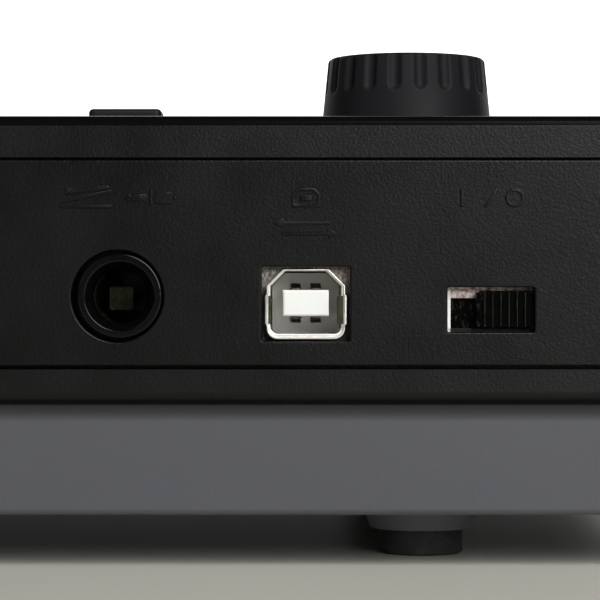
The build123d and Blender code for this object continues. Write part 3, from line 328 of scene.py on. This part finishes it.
def browning_tin(name, bright_from):
    """Bright tin, browner away from its bright end."""
    s = Shader(name)
    blotch = s.noise(1400.0, 5.0, 0.65)
    browned = s.mix(s.span(blotch, 0.4, 0.6, 0.0, 1.0), (0.30, 0.18, 0.15), (0.80, 0.74, 0.70))
    end = s.span(s.along("X"), bright_from - 0.0001, bright_from + 0.0001, 0.0, 1.0)
    s.join(s.mix(end, browned, (0.96, 0.96, 0.95)), s.bsdf.inputs["Base Color"])
    s.join(s.span(blotch, 0.3, 0.7, 0.38, 0.55), s.bsdf.inputs["Roughness"])
    s.join(s.bump(blotch, 0.00002), s.bsdf.inputs["Normal"])
    s.set(Metallic=0.5)
    return s.material


def tinned_plate(name, middle_z):
    """The socket's front plate: scratched tin in its upper corners, and near-black painted shade below them.
    """
    s = Shader(name)
    blotch = s.noise(1300.0, 6.0, 0.72)
    scratches = s.noise(5200.0, 4.0, 0.7, s.stretched((1.0, 1.0, 0.25)))
    upper = s.span(s.along("Z"), middle_z + 0.0010, middle_z + 0.0030, 0.0, 1.0)
    bare = s.math("MULTIPLY", upper, s.span(scratches, 0.42, 0.62, 0.25, 1.0))
    tin = s.mix(s.span(blotch, 0.4, 0.62, 0.0, 1.0), (0.30, 0.19, 0.14), (0.85, 0.83, 0.78))
    # painted shade: the tin is near-black away from its upper corners
    s.join(s.mix(bare, (0.010, 0.010, 0.009), tin), s.bsdf.inputs["Base Color"])
    s.join(s.span(blotch, 0.3, 0.7, 0.35, 0.65), s.bsdf.inputs["Roughness"])
    s.join(s.bump(scratches, 0.00005), s.bsdf.inputs["Normal"])
    s.set(Metallic=0.35)
    return s.material


def printed_ink(name, colour):
    """Pad-printed ink, a little thin in places."""
    s = Shader(name)
    dark, light = varied(colour, 0.12)
    stain = s.span(s.noise(1800.0, 4.0), 0.35, 0.65, 0.0, 1.0)
    s.join(s.mix(stain, dark, light), s.bsdf.inputs["Base Color"])
    s.join(s.span(s.noise(700.0, 3.0), 0.3, 0.7, 0.45, 0.6), s.bsdf.inputs["Roughness"])
    s.set(Specular_IOR_Level=0.4)
    return s.material


usb_low, usb_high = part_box("usb_socket_insulator")
switch_low, switch_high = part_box("power_switch_frame")
_, slider_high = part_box("power_switch_slider")
SLIDER_WORN = (slider_high[0] - 0.0048, slider_high[0] - 0.0006)
SWITCH_MIDDLE = (switch_low[0] + switch_high[0]) / 2
# where the slider's ribs stand; their edges carry painted highlights
FIRST_RIB = slider_high[0] - 0.009675
RIB_PITCH = 0.00098
RIBS = 5.1
# the switch cover's bright end is painted light; away from it the cover is in painted shade
FOLD_END = 0.00476  # bright ends of the switch's window fold and cover, from the switch's middle
STEEL_LIT_END = 0.00485
STEEL_TOP = 0.0058  # the switch cover's top edge, over its underside
SMOOTH_ABOVE = 0.05357  # where the black case's grain ends
BLACK_LIP = (0.0198, 0.0216, 0.0011)
GREY_LIP = (0.0200, 0.0179, -0.0021)
# the grey case is painted lighter below this height, as painted light on the foot bosses
FOOT_BOSSES_PAINTED_LIGHT = (0.0063, 1.9)

SHELL_BLACK = (0.0032, 0.0032, 0.0034)
PANEL_BLACK = (0.0022, 0.0022, 0.0024)
SHELL_GREY = (0.0790, 0.0805, 0.0910)
PAINTS = {
    "shell_black": moulded_plastic(
        "shell_black", SHELL_BLACK, 0.35, 0.00024, 0.000028, 0.25, smooth_above=SMOOTH_ABOVE, lip=BLACK_LIP
    ),
    "panel_black": moulded_plastic("panel_black", PANEL_BLACK, 0.34, 0.00024, 0.000028, 0.22, dusty=True),
    "shell_grey": moulded_plastic(
        "shell_grey", SHELL_GREY, 0.56, 0.00030, 0.000010, 0.35, 0.04, lip=GREY_LIP, under=FOOT_BOSSES_PAINTED_LIGHT
    ),
    "rubber_black": rubber("rubber_black", (0.042, 0.042, 0.043)),
    "key_white": smooth_plastic("key_white", (0.80, 0.79, 0.755), 0.22, coat=0.35),
    "key_black": moulded_plastic("key_black", (0.012, 0.012, 0.0125), 0.38, 0.00035, 0.000008),
    "knob_black": moulded_plastic("knob_black", (0.0072, 0.0070, 0.0088), 0.60, 0.00030, 0.000008, 0.2),
    "button_black": moulded_plastic("button_black", (0.0048, 0.0050, 0.0056), 0.5, 0.00035, 0.000008, 0.25),
    "wheel_black": moulded_plastic("wheel_black", (0.012, 0.012, 0.0125), 0.45, 0.00040, 0.000016),
    "socket_black": smooth_plastic("socket_black", (0.0020, 0.0020, 0.0021), 0.17, specular=0.2),
    "slider_black": scuffed_black("slider_black", (0.0006, 0.0006, 0.0006)),
    "chassis_grey": moulded_plastic("chassis_grey", (0.05, 0.05, 0.052), 0.6, 0.00050, 0.000020),
    "plated_steel": metal("plated_steel", (0.70, 0.68, 0.65), 0.26, tarnish=(0.42, 0.38, 0.33)),
    "bright_nickel": metal("bright_nickel", (0.93, 0.92, 0.89), 0.34, tarnish=(0.74, 0.71, 0.64)),
    "dull_nickel": metal("dull_nickel", (0.90, 0.89, 0.86), 0.42, tarnish=(0.78, 0.76, 0.72)),
    "olive_steel": metal("olive_steel", (0.062, 0.062, 0.040), 0.45, tarnish=(0.030, 0.032, 0.022)),
    "dull_bronze": metal("dull_bronze", (0.16, 0.125, 0.085), 0.5, tarnish=(0.07, 0.05, 0.035)),
    "tinned_plate": tinned_plate("tinned_plate", (usb_low[2] + usb_high[2]) / 2),
    "print_grey": printed_ink("print_grey", (0.34, 0.35, 0.36)),
    # the switch cover's colour holds painted light at its bright end and painted shade elsewhere
    "switch_steel": painted_shade_steel("switch_steel", SWITCH_MIDDLE + STEEL_LIT_END, switch_low[2] + STEEL_TOP),
    "switch_fold": browning_tin("switch_fold", SWITCH_MIDDLE + FOLD_END),
    "spring_steel": metal("spring_steel", (0.48, 0.48, 0.50), 0.3),
    "zinc_steel": metal("zinc_steel", (0.52, 0.52, 0.54), 0.35),
    "contact_metal": metal("contact_metal", (0.34, 0.28, 0.19), 0.4, tarnish=(0.16, 0.10, 0.06)),
    "insulator_white": smooth_plastic("insulator_white", (0.86, 0.86, 0.84), 0.4),
    "board_green": circuit_board("board_green", (0.012, 0.09, 0.035), (0.04, 0.22, 0.09)),
    "silicone_grey": rubber("silicone_grey", (0.32, 0.32, 0.33), 0.6),
    "felt_red": felt("felt_red", (0.26, 0.02, 0.02)),
    "ribbon_grey": smooth_plastic("ribbon_grey", (0.35, 0.35, 0.37), 0.45),
    "lens_clear": clear_lens("lens_clear", (0.75, 0.8, 0.82)),
}

slot_of = {row["node"]: row["material_slot"] for row in frame["record"]["subparts"]}


def paint(obj, material):
    obj.data.materials.clear()
    obj.data.materials.append(material)


def placed(name, data):
    """A new object in the scene."""
    obj = bpy.data.objects.new(name, data)
    bpy.context.scene.collection.objects.link(obj)
    return obj


def weld(obj, distance):
    modifier = obj.modifiers.new("weld", "WELD")
    modifier.merge_threshold = distance


def weigh_normals(obj):
    """Shades large flat faces flat."""
    modifier = obj.modifiers.new("normals", "WEIGHTED_NORMAL")
    modifier.keep_sharp = False
    modifier.weight = 80


def soften(obj, width):
    """Rounds hard edges a little and shades flat faces flat."""
    weld(obj, 0.000002)
    flat = obj.modifiers.new("flat", "DECIMATE")
    flat.decimate_type = "DISSOLVE"
    flat.angle_limit = math.radians(0.4)
    if width:
        bevel = obj.modifiers.new("bevel", "BEVEL")
        bevel.width = width
        bevel.segments = 2
        bevel.limit_method = "ANGLE"
        bevel.angle_limit = math.radians(35)
        bevel.use_clamp_overlap = True
        bevel.miter_outer = "MITER_ARC"
        bevel.harden_normals = False
    weigh_normals(obj)


def smooth_faces(mesh):
    mesh.polygons.foreach_set("use_smooth", [True] * len(mesh.polygons))
    mesh.update()


ROUNDING = {
    "upper_case": 0.2,
    "lower_case": 0.12,
    "rear_panel": 0.1,
    "key_chassis": 0.0,
    "volume_knob": 0.0,
    "contact_dome_strip": 0.0,
    "pitch_centring_spring": 0.0,
    "key_pivot_rod": 0.0,
    "usb_socket_shell": 0.03,
    "usb_socket_insulator": 0.06,
    "usb_socket_contacts": 0.03,
    "jack_socket_contacts": 0.03,
    "power_switch_frame": 0.05,
    "power_switch_slider": 0.06,
    "key_return_springs": 0.0,
    "screws": 0.0,
}
SPECIAL = {"power_switch_frame": "switch_steel", "usb_socket_contacts": "dull_bronze"}
for name, node in nodes.items():
    paint(node, PAINTS[SPECIAL.get(name, slot_of[name])])
    smooth_faces(node.data)
    soften(node, ROUNDING.get(name, 0.12) * MM)


# ---------------------------------------------------------------- flat pieces with rounded edges
def bar(u0, v0, u1, v1, r=0.0, steps=5):
    """A rectangle's outline, its corners rounded to radius r."""
    if not r:
        return [(u0, v0), (u1, v0), (u1, v1), (u0, v1)]
    corners = ((u1 - r, v0 + r, -90), (u1 - r, v1 - r, 0), (u0 + r, v1 - r, 90), (u0 + r, v0 + r, 180))
    outline = []
    for cu, cv, start in corners:
        for step in range(steps + 1):
            a = math.radians(start + 90 * step / steps)
            outline.append((cu + r * math.cos(a), cv + r * math.sin(a)))
    return outline


def ring(cu, cv, r, steps=48):
    """A circle's outline."""
    turn = 2 * math.pi / steps
    return [(cu + r * math.cos(n * turn), cv + r * math.sin(n * turn)) for n in range(steps)]


def stroke(points, width):
    """The outline of a line of some width through two points."""
    (u0, v0), (u1, v1) = points
    length = math.hypot(u1 - u0, v1 - v0)
    du, dv = (u1 - u0) / length * width / 2, (v1 - v0) / length * width / 2
    return [(u0 + dv, v0 - du), (u1 + dv, v1 - du), (u1 - dv, v1 + du), (u0 - dv, v0 + du)]


REARWARD = Matrix(((-1, 0, 0), (0, 0, 1), (0, 1, 0))).to_4x4()  # outlines drawn as seen from behind
UPWARD = Matrix.Identity(4)  # outlines drawn as seen from above


def plate(name, outlines, place, facing, thickness, rounding, material, body, segments=3):
    """A plate cut to closed outlines in mm. place is its back face's origin in mm, in the part's frame."""
    curve = bpy.data.curves.new(name, "CURVE")
    curve.dimensions = "2D"
    curve.fill_mode = "BOTH"
    curve.extrude = (thickness / 2 - rounding) * MM
    curve.bevel_depth = rounding * MM
    curve.bevel_resolution = segments
    curve.offset = -rounding * MM
    for outline in outlines:
        spline = curve.splines.new("POLY")
        spline.points.add(len(outline) - 1)
        for point, (u, v) in zip(spline.points, outline):
            point.co = (u * MM, v * MM, 0, 1)
        spline.use_cyclic_u = True
    holder = bpy.data.objects.new(name + "_curve", curve)
    mesh = bpy.data.meshes.new_from_object(holder)
    bpy.data.objects.remove(holder)
    mesh.name = name
    mesh.transform(Matrix.Translation((0, 0, thickness / 2 * MM)))
    mesh.transform(Matrix.Translation([c * MM for c in place]) @ facing)
    mesh.materials.clear()
    mesh.materials.append(material)
    smooth_faces(mesh)
    piece = placed(name, mesh)
    weld(piece, 0.000001)
    weigh_normals(piece)
    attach(piece, body)
    return piece


# ---------------------------------------------------------------- rear panel
def middle(node):
    """The middle of a CAD node's box, in mm."""
    low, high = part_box(node)
    return [(a + b) / 2 / MM for a, b in zip(low, high)]


panel_low, panel_high = ([c / MM for c in corner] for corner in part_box("rear_panel"))
FACE_Y = panel_high[1]
FLANGE = 2.0
FLANGE_T = 1.8
PANEL_T = 2.3
OPENING_Z = (panel_low[2] + FLANGE, panel_high[2] - FLANGE)
GAP_LOW = 0.4
GAP_HIGH = 0.27
GAP_SIDE = 0.2
WINDOW_INSET = (5.0, 1.5)  # of the flange's window, from the panel's ends and from the case's opening
strip_half = panel_high[0] - FLANGE - GAP_SIDE
strip_z = (OPENING_Z[0] + GAP_LOW, OPENING_Z[1] - GAP_HIGH)
nose_x, jack_z = middle("jack_socket_body")[0], 33.05
jack_x = nose_x + 0.25  # the jack's nose stands a little off the middle of its hole
usb_x, _, usb_z = middle("usb_socket_insulator")
switch_x, _, switch_z = middle("power_switch_frame")
JACK_HOLE_R = 5.57
USB_OPENING = (10.65, 9.0)
SWITCH_OPENING = (10.5, 5.4)


def opening(x, z, size, r=0.25):
    """A panel opening's outline. The panel is drawn from behind, so its u is minus x."""
    return bar(-x - size[0] / 2, z - size[1] / 2, -x + size[0] / 2, z + size[1] / 2, r)


panel_outlines = [
    bar(-strip_half, strip_z[0], strip_half, strip_z[1], 0.35),
    ring(-jack_x, jack_z, JACK_HOLE_R, 96),
    opening(usb_x, usb_z, USB_OPENING),
    opening(switch_x, switch_z, SWITCH_OPENING),
]
panel = plate(
    "panel_strip", panel_outlines, (0, FACE_Y - PANEL_T, 0), REARWARD, PANEL_T, 0.24,
    PAINTS["panel_black"], "case",
)
flange_outlines = [
    bar(panel_low[0], panel_low[2], panel_high[0], panel_high[2], 0.5),
    bar(
        panel_low[0] + WINDOW_INSET[0], OPENING_Z[0] + WINDOW_INSET[1],
        panel_high[0] - WINDOW_INSET[0], OPENING_Z[1] - WINDOW_INSET[1], 0.5,
    ),
]
flange = plate(
    "panel_flange", flange_outlines, (0, panel_low[1], 0), REARWARD, FLANGE_T, 0.1,
    PAINTS["panel_black"], "case",
)
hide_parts("rear_panel")
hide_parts("rear_panel")


# ---------------------------------------------------------------- knob
knob_low, knob_high = ([c / MM for c in corner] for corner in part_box("volume_knob"))
KNOB_BASE, KNOB_TOP = knob_low[2], knob_high[2]
KNOB_R0 = (knob_high[0] - knob_low[0]) / 2  # at the base
KNOB_R1 = KNOB_R0 - 0.87  # at the rim
RIM_Z = KNOB_TOP - 1.3
RIM_R = KNOB_R1 + 0.08
DOME = 0.42
SHOULDER_R = KNOB_R1 - 0.85
SHOULDER_Z = KNOB_TOP - DOME
FLUTES = 20
FLUTE_R = 0.95
FLUTE_OFF = 0.86  # the flutes' axes stand outside the rim
FLUTE_Z = KNOB_TOP - 4.38  # centre of the flutes' round lower ends
FLUTE_TURN = 82.5
FLUTE_TILT = 0.1
FLUTE_SOFT = 0.10  # rounding of the flutes' edges
POINTER_HALF = 0.55
POINTER_Y = (3.4, 8.4)
POINTER_DEPTH = 0.22
POINTER_SLOPE = 0.12


def knob_profile(skirt_rows=46, shoulder_rows=12, dome_rows=40):
    """The knob's outline without flutes, as radius and height, from the base up and over the dome."""
    taper = (KNOB_R0 - RIM_R) / (RIM_Z - KNOB_BASE)
    start_z = KNOB_BASE + 0.2
    foot = [(0.35, 0.0), (0.12, 0.03), (0.02, 0.14)]
    profile = [(KNOB_R0 - inset, KNOB_BASE + rise) for inset, rise in foot]
    for n in range(skirt_rows + 1):
        z = start_z + (RIM_Z - start_z) * n / skirt_rows
        profile.append((KNOB_R0 - taper * (z - KNOB_BASE), z))
    for n in range(1, shoulder_rows + 1):
        a = math.radians(90 * n / shoulder_rows)
        r = SHOULDER_R + (RIM_R - SHOULDER_R) * math.cos(a) ** 0.62
        profile.append((r, RIM_Z + (SHOULDER_Z - RIM_Z) * math.sin(a) ** 0.8))
    for n in range(1, dome_rows + 1):
        r = SHOULDER_R * (1 - n / (dome_rows + 1))
        profile.append((r, KNOB_TOP - DOME * (r / SHOULDER_R) ** 2))
    return profile


def fluted(r_out, z, angle):
    """The radius that the nearest flute, a round-ended groove, leaves at a height and an angle."""
    turn = (math.degrees(angle) + FLUTE_TURN) % (360 / FLUTES)
    turn = math.radians(min(turn, 360 / FLUTES - turn))
    axis_r = KNOB_R1 + FLUTE_OFF - FLUTE_TILT * (z - FLUTE_Z)
    deep = FLUTE_R**2 - max(0.0, FLUTE_Z - z) ** 2 - (axis_r * math.sin(turn)) ** 2
    if deep <= 0:
        return r_out
    r = min(r_out, axis_r * math.cos(turn) - math.sqrt(deep))
    gap = abs(axis_r - math.sqrt(deep) - r_out)
    if gap < FLUTE_SOFT:
        r = min(r, r_out - (FLUTE_SOFT - gap) ** 2 / (4 * FLUTE_SOFT))
    return r


def pointer_depth(x, y, z):
    """How deep the pointer's groove is at a place on the knob's dome."""
    if z <= SHOULDER_Z - 0.05 or abs(x) >= POINTER_HALF or not POINTER_Y[0] < y < POINTER_Y[1]:
        return 0.0
    edge = min(POINTER_HALF - abs(x), y - POINTER_Y[0], POINTER_Y[1] - y)
    return POINTER_DEPTH * min(1.0, edge / POINTER_SLOPE)


def knob_mesh(name, steps=16):
    """The fluted knob as a fine grid: a turned profile with its flutes and pointer groove pressed in."""
    cx, cy = (knob_low[0] + knob_high[0]) / 2, (knob_low[1] + knob_high[1]) / 2
    profile = knob_profile()
    count = FLUTES * steps
    verts = []
    for r_out, z in profile:
        for k in range(count):
            angle = 2 * math.pi * k / count
            r = fluted(r_out, z, angle)
            x, y = r * math.cos(angle), r * math.sin(angle)
            verts.append(((cx + x) * MM, (cy + y) * MM, (z - pointer_depth(x, y, z)) * MM))
    faces = []
    for row in range(len(profile) - 1):
        for k in range(count):
            a, b = row * count + k, row * count + (k + 1) % count
            faces.append((a, b, b + count, a + count))
    faces.append(tuple(reversed(range(count))))
    last = (len(profile) - 1) * count
    faces.append(tuple(last + k for k in range(count)))
    mesh = bpy.data.meshes.new(name)
    mesh.from_pydata(verts, [], faces)
    smooth_faces(mesh)
    piece = placed(name, mesh)
    paint(piece, PAINTS["knob_black"])
    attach(piece, "volume_knob")
    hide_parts("volume_knob")


knob_mesh("knob_fluted")


# ---------------------------------------------------------------- raised signs over the openings
SIGN_T = 0.36
SIGN_SUNK = 0.18
SIGNS_Z = 44.9
ARROWS_Z = 41.2


def sign(name, outlines, x, z):
    """Signs raised from the panel, drawn about (x, z) as seen from behind."""
    moved = [[(u - x, v + z) for u, v in outline] for outline in outlines]
    place = (0, FACE_Y - SIGN_SUNK, 0)
    return plate(name, moved, place, REARWARD, SIGN_T, 0.08, PAINTS["panel_black"], "case", 2)


pedal = [
    bar(-7.0, -1.25, -0.6, -0.8, 0.2),
    stroke([(-6.7, -0.45), (-0.7, 0.75)], 0.42),
    [
        (-6.4, 0.35), (-6.4, 1.25), (-5.6, 1.25), (-5.2, 0.85),
        (-3.4, 1.2), (-1.4, 1.55), (-0.9, 1.3), (-1.1, 1.0),
    ],
]
plug = [
    [
        (0.9, 0.0), (1.25, 0.42), (1.55, 0.42), (1.75, 0.22), (1.95, 0.42), (3.6, 0.42),
        (3.6, -0.42), (1.95, -0.42), (1.75, -0.22), (1.55, -0.42), (1.25, -0.42),
    ],
    bar(3.85, -0.95, 4.25, 0.95, 0.12),
    bar(4.5, -0.75, 6.6, 0.75, 0.3),
    bar(6.75, -0.25, 7.1, 0.25, 0.1),
]
sign("sign_pedal", pedal + plug, jack_x, SIGNS_Z)
port = [
    [(-1.7, -1.15), (1.7, -1.15), (1.7, 0.5), (1.05, 1.15), (-1.05, 1.15), (-1.7, 0.5)],
    [(-1.35, -0.82), (1.35, -0.82), (1.35, 0.38), (0.9, 0.82), (-0.9, 0.82), (-1.35, 0.38)],
    bar(-0.75, -0.38, 0.75, 0.32, 0.08),
]
sign("sign_port", port, usb_x, SIGNS_Z)
arrow = [(-3.9, 0.0), (-2.7, 0.62), (-2.7, 0.2), (2.9, 0.2), (2.9, -0.2), (-2.7, -0.2), (-2.7, -0.62)]
arrows = [[(u, v + 0.62) for u, v in arrow], [(-u, -v - 0.62) for u, v in arrow]]
sign("sign_arrows", arrows, usb_x, ARROWS_Z)
power = [
    bar(-3.75, -1.1, -3.3, 1.1, 0.12),
    stroke([(-0.75, -1.15), (0.75, 1.15)], 0.34),
    ring(2.85, 0.0, 1.15),
    ring(2.85, 0.0, 0.76),
]
sign("sign_power", power, switch_x, SIGNS_Z)


# ---------------------------------------------------------------- data socket's shell
def keyed(width, height, cut, corner, drop=0.0, notch=0.0, steps=6):
    """The socket's outline as seen from behind: two cut corners above, two round ones below.

    drop lowers its underside, and notch cuts each side out for the windows that the latches spring out of.
    """
    w, h = width / 2, height / 2
    outline = []
    for cu, start in ((-w + corner, 180), (w - corner, 270)):
        for step in range(steps + 1):
            a = math.radians(start + 90 * step / steps)
            outline.append((cu + corner * math.cos(a), -h + corner + corner * math.sin(a) - drop))
    rise = []
    if notch:
        low, high = NOTCH_Z
        rise = [(w, low), (w + notch, low), (w + notch, high), (w, high)]
    outline += rise + [(w, h - cut), (w - cut, h), (-w + cut, h), (-w, h - cut)]
    outline += [(-u, v) for u, v in reversed(rise)]
    return [(u - usb_x, v + usb_z) for u, v in outline]


RIM_Y = FACE_Y - 0.7
NOTCH_Z = (-2.55, 1.1)
LATCH_Z = -0.72


def shell_piece(name, outlines, outer_y, thickness, rounding, paint_name, segments):
    """A sheet piece of the socket's shell, its outer face at outer_y."""
    piece = plate(
        name, outlines, (0, outer_y - thickness, 0), REARWARD, thickness, rounding,
        PAINTS[paint_name], "case", segments,
    )
    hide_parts("usb_socket_shell")


def beside(side, reach, u0, u1, half_height, r):
    """A bar beside the socket's cavity, measured inwards from reach on one side."""
    outline = bar(u0, -half_height, u1, half_height, r)
    return [[(side * (reach - u) - usb_x, v + LATCH_Z + usb_z) for u, v in outline]]


tube = [keyed(9.3, 8.3, 1.95, 1.2), keyed(8.6, 8.0, 1.85, 0.9, -0.38)]
shell_piece("usb_tube", tube, RIM_Y - 0.3, 15.3, 0.05, "dull_nickel", 1)
rim = [keyed(9.5, 8.4, 2.0, 1.35, 0.08), keyed(9.06, 8.02, 1.9, 1.1, -0.03, 0.17)]
shell_piece("usb_rim", rim, RIM_Y, 0.5, 0.07, "bright_nickel", 4)
# the front plate carries painted shade below its upper corners
front_plate = [opening(usb_x, usb_z, (11.6, 10.2)), keyed(9.0, 8.3, 1.75, 1.2)]
shell_piece("usb_front_plate", front_plate, FACE_Y - PANEL_T - 0.05, 0.4, 0.04, "tinned_plate", 1)
for side, name, spring_w in ((-1, "left", 0.32), (1, "right", 0.66)):
    latch = beside(side, 4.5, -0.47, 0.0, 1.8, 0.18)
    shell_piece("usb_latch_" + name, latch, RIM_Y - 0.1, 3.3, 0.12, "bright_nickel", 4)
    spring = beside(side, 4.52, 0.0, spring_w, 1.7, 0.05)
    shell_piece("usb_spring_" + name, spring, RIM_Y - 0.25, 4.2, 0.04, "olive_steel", 2)


# ---------------------------------------------------------------- switch window and pedal socket
# bright folded edges at the left and over the recess of the switch's window, as seen from behind
fold_end = -FOLD_END / MM
fold = [(-5.2, -2.35), (fold_end, -2.35), (fold_end, 1.4), (-1.35, 1.4), (-1.35, 2.5), (-5.2, 2.5)]
fold_outline = [(u - switch_x, v + switch_z) for u, v in fold]
plate(
    "switch_fold", [fold_outline], (0, switch_high[1] / MM, 0), REARWARD, 0.12, 0.03,
    PAINTS["switch_fold"], "case", 2,
)

# tip spring at the bottom of the pedal socket
plate(
    "jack_tip_spring", [bar(-nose_x - 2.1, jack_z - 1.75, -nose_x + 0.9, jack_z + 1.25, 0.3)],
    (0, FACE_Y - 12.2, 0), REARWARD, 0.3, 0.05, PAINTS["olive_steel"], "case", 2,
)


# ---------------------------------------------------------------- prints on the deck
DECK_Z = 54.82
MARK_BEHIND = 6.2
PRINT_T = 0.05
PRINT_SUNK = 0.02
WHEELS_X = {"pitch_wheel": -205.0, "mod_wheel": -177.0}
WHEEL_MARKS_Y = 45.4
knob_middle = middle("volume_knob")


def deck_print(name, outlines, x, y):
    """A printed mark on the level deck, drawn about (x, y) as seen from above."""
    moved = [[(u + x, v + y) for u, v in outline] for outline in outlines]
    place = (0, 0, DECK_Z - PRINT_SUNK)
    return plate(name, moved, place, UPWARD, PRINT_T, 0.01, PAINTS["print_grey"], "case", 1)


ticks = []
for n in range(11):
    a = math.radians(30 * n - 60)
    near, far = (12.4, 13.9) if n % 5 == 0 else (12.6, 13.5)
    ways = [(r * math.cos(a), r * math.sin(a)) for r in (near, far)]
    ticks.append(stroke(ways, 0.35))
deck_print("print_volume_ticks", ticks, knob_middle[0], knob_middle[1])
marks = {
    1: [bar(-1.0, -0.16, 1.0, 0.16, 0.05)],
    2: [
        [
            (-1.0, -0.16), (-0.16, -0.16), (-0.16, -1.0), (0.16, -1.0), (0.16, -0.16), (1.0, -0.16),
            (1.0, 0.16), (0.16, 0.16), (0.16, 1.0), (-0.16, 1.0), (-0.16, 0.16), (-1.0, 0.16),
        ]
    ],
    3: [[(-0.7, -0.9), (0.95, 0.0), (-0.7, 0.9)]],
    4: [ring(0, 0, 0.9), ring(0, 0, 0.6)],
}
for n, outlines in marks.items():
    spot = middle(f"button_{n}")
    deck_print(f"print_button_{n}", outlines, spot[0], spot[1] + MARK_BEHIND)
for name, wheel_x in WHEELS_X.items():
    arrows_up = [[(-1.1, 0.0), (1.1, 0.0), (0.0, 1.4)]]
    if name == "pitch_wheel":
        arrows_up.append([(-1.1, -0.6), (0.0, -2.0), (1.1, -0.6)])
    deck_print("print_" + name, arrows_up, wheel_x, WHEEL_MARKS_Y)


# ---------------------------------------------------------------- stage
def plain(name, colour, roughness):
    s = Shader(name)
    dark, light = varied(colour, 0.015)
    s.join(s.mix(s.noise(3.0, 2.0), dark, light), s.bsdf.inputs["Base Color"])
    s.set(Roughness=roughness, Specular_IOR_Level=0.22)
    return s.material


def flat_mesh(name, corners):
    mesh = bpy.data.meshes.new(name)
    mesh.from_pydata(corners, [], [tuple(range(len(corners)))])
    return placed(name, mesh)


def glow(name, strength):
    material = bpy.data.materials.new(name)
    material.use_nodes = True
    tree = material.node_tree
    tree.nodes.clear()
    out = tree.nodes.new("ShaderNodeOutputMaterial")
    emission = tree.nodes.new("ShaderNodeEmission")
    emission.inputs["Strength"].default_value = strength
    tree.links.new(emission.outputs[0], out.inputs["Surface"])
    return material


FLOOR_HALF = 4.0
floor_corners = [(i * FLOOR_HALF, j * FLOOR_HALF, 0) for i, j in ((-1, -1), (1, -1), (1, 1), (-1, 1))]
floor = flat_mesh("floor", floor_corners)
paint(floor, plain("floor", (0.70, 0.69, 0.61), 0.38))

BACKDROP_X = (-3.9, 3.5)
BACKDROP_Y = -3.9
BACKDROP_Z = (0.001, 3.0)
backdrop_low = [(x, BACKDROP_Y, BACKDROP_Z[0]) for x in BACKDROP_X]
backdrop_high = [(x, BACKDROP_Y, BACKDROP_Z[1]) for x in reversed(BACKDROP_X)]
backdrop = flat_mesh("backdrop", backdrop_low + backdrop_high)
paint(backdrop, glow("backdrop", 1.8))


def area_light(name, place, aim, size, power):
    light = bpy.data.lights.new(name, "AREA")
    light.shape = "RECTANGLE"
    light.size, light.size_y = size
    light.energy = power
    obj = placed(name, light)
    obj.location = place
    obj.rotation_euler = (aim - place).to_track_quat("-Z", "Y").to_euler()


def studio_world(horizon, zenith):
    world = bpy.data.worlds.new("studio")
    world.use_nodes = True
    tree = world.node_tree
    tree.nodes.clear()
    out = tree.nodes.new("ShaderNodeOutputWorld")
    background = tree.nodes.new("ShaderNodeBackground")
    coords = tree.nodes.new("ShaderNodeTexCoord")
    split = tree.nodes.new("ShaderNodeSeparateXYZ")
    ramp = tree.nodes.new("ShaderNodeValToRGB")
    ramp.color_ramp.elements[0].position = 0.12
    ramp.color_ramp.elements[0].color = (*horizon, 1)
    ramp.color_ramp.elements[1].position = 0.62
    ramp.color_ramp.elements[1].color = (*zenith, 1)
    tree.links.new(coords.outputs["Generated"], split.inputs[0])
    tree.links.new(split.outputs["Z"], ramp.inputs[0])
    tree.links.new(ramp.outputs[0], background.inputs["Color"])
    tree.links.new(background.outputs[0], out.inputs["Surface"])
    bpy.context.scene.world = world


studio_world((0.08, 0.08, 0.08), (0.016, 0.016, 0.017))
SUBJECT = Vector((-0.18, 0.096, 0.035))


def softbox(name, azimuth, elevation, distance, size, power):
    """A soft light seen from the subject at an azimuth (towards -X from +Y) and elevation in degrees."""
    az, el = math.radians(azimuth), math.radians(elevation)
    way = Vector((-math.sin(az) * math.cos(el), math.cos(az) * math.cos(el), math.sin(el)))
    area_light(name, SUBJECT + way * distance, SUBJECT, size, power)


softbox("key", 25, 32, 0.9, (0.44, 0.80), 9.3)
softbox("fill", -56, 30, 1.1, (0.56, 0.88), 1.5)


# ---------------------------------------------------------------- camera
VIEW_X = -180.0 * MM
EYE_Z = 32.57 * MM
REAR_FACE_Y = 95.8 * MM
DISTANCE = 300.0 * MM
SENSOR = 36.0
SEEN_WIDTH = 72.3 * MM
camera_data = bpy.data.cameras.new("camera")
camera_data.sensor_width = SENSOR
camera_data.lens = SENSOR * DISTANCE / SEEN_WIDTH
camera_data.clip_start = 0.01
camera = placed("camera", camera_data)
camera.location = (VIEW_X, REAR_FACE_Y + DISTANCE, EYE_Z)
camera.rotation_euler = (math.radians(90), 0, math.radians(180))
bpy.context.scene.camera = camera
bpy.context.scene.view_settings.view_transform = "Standard"
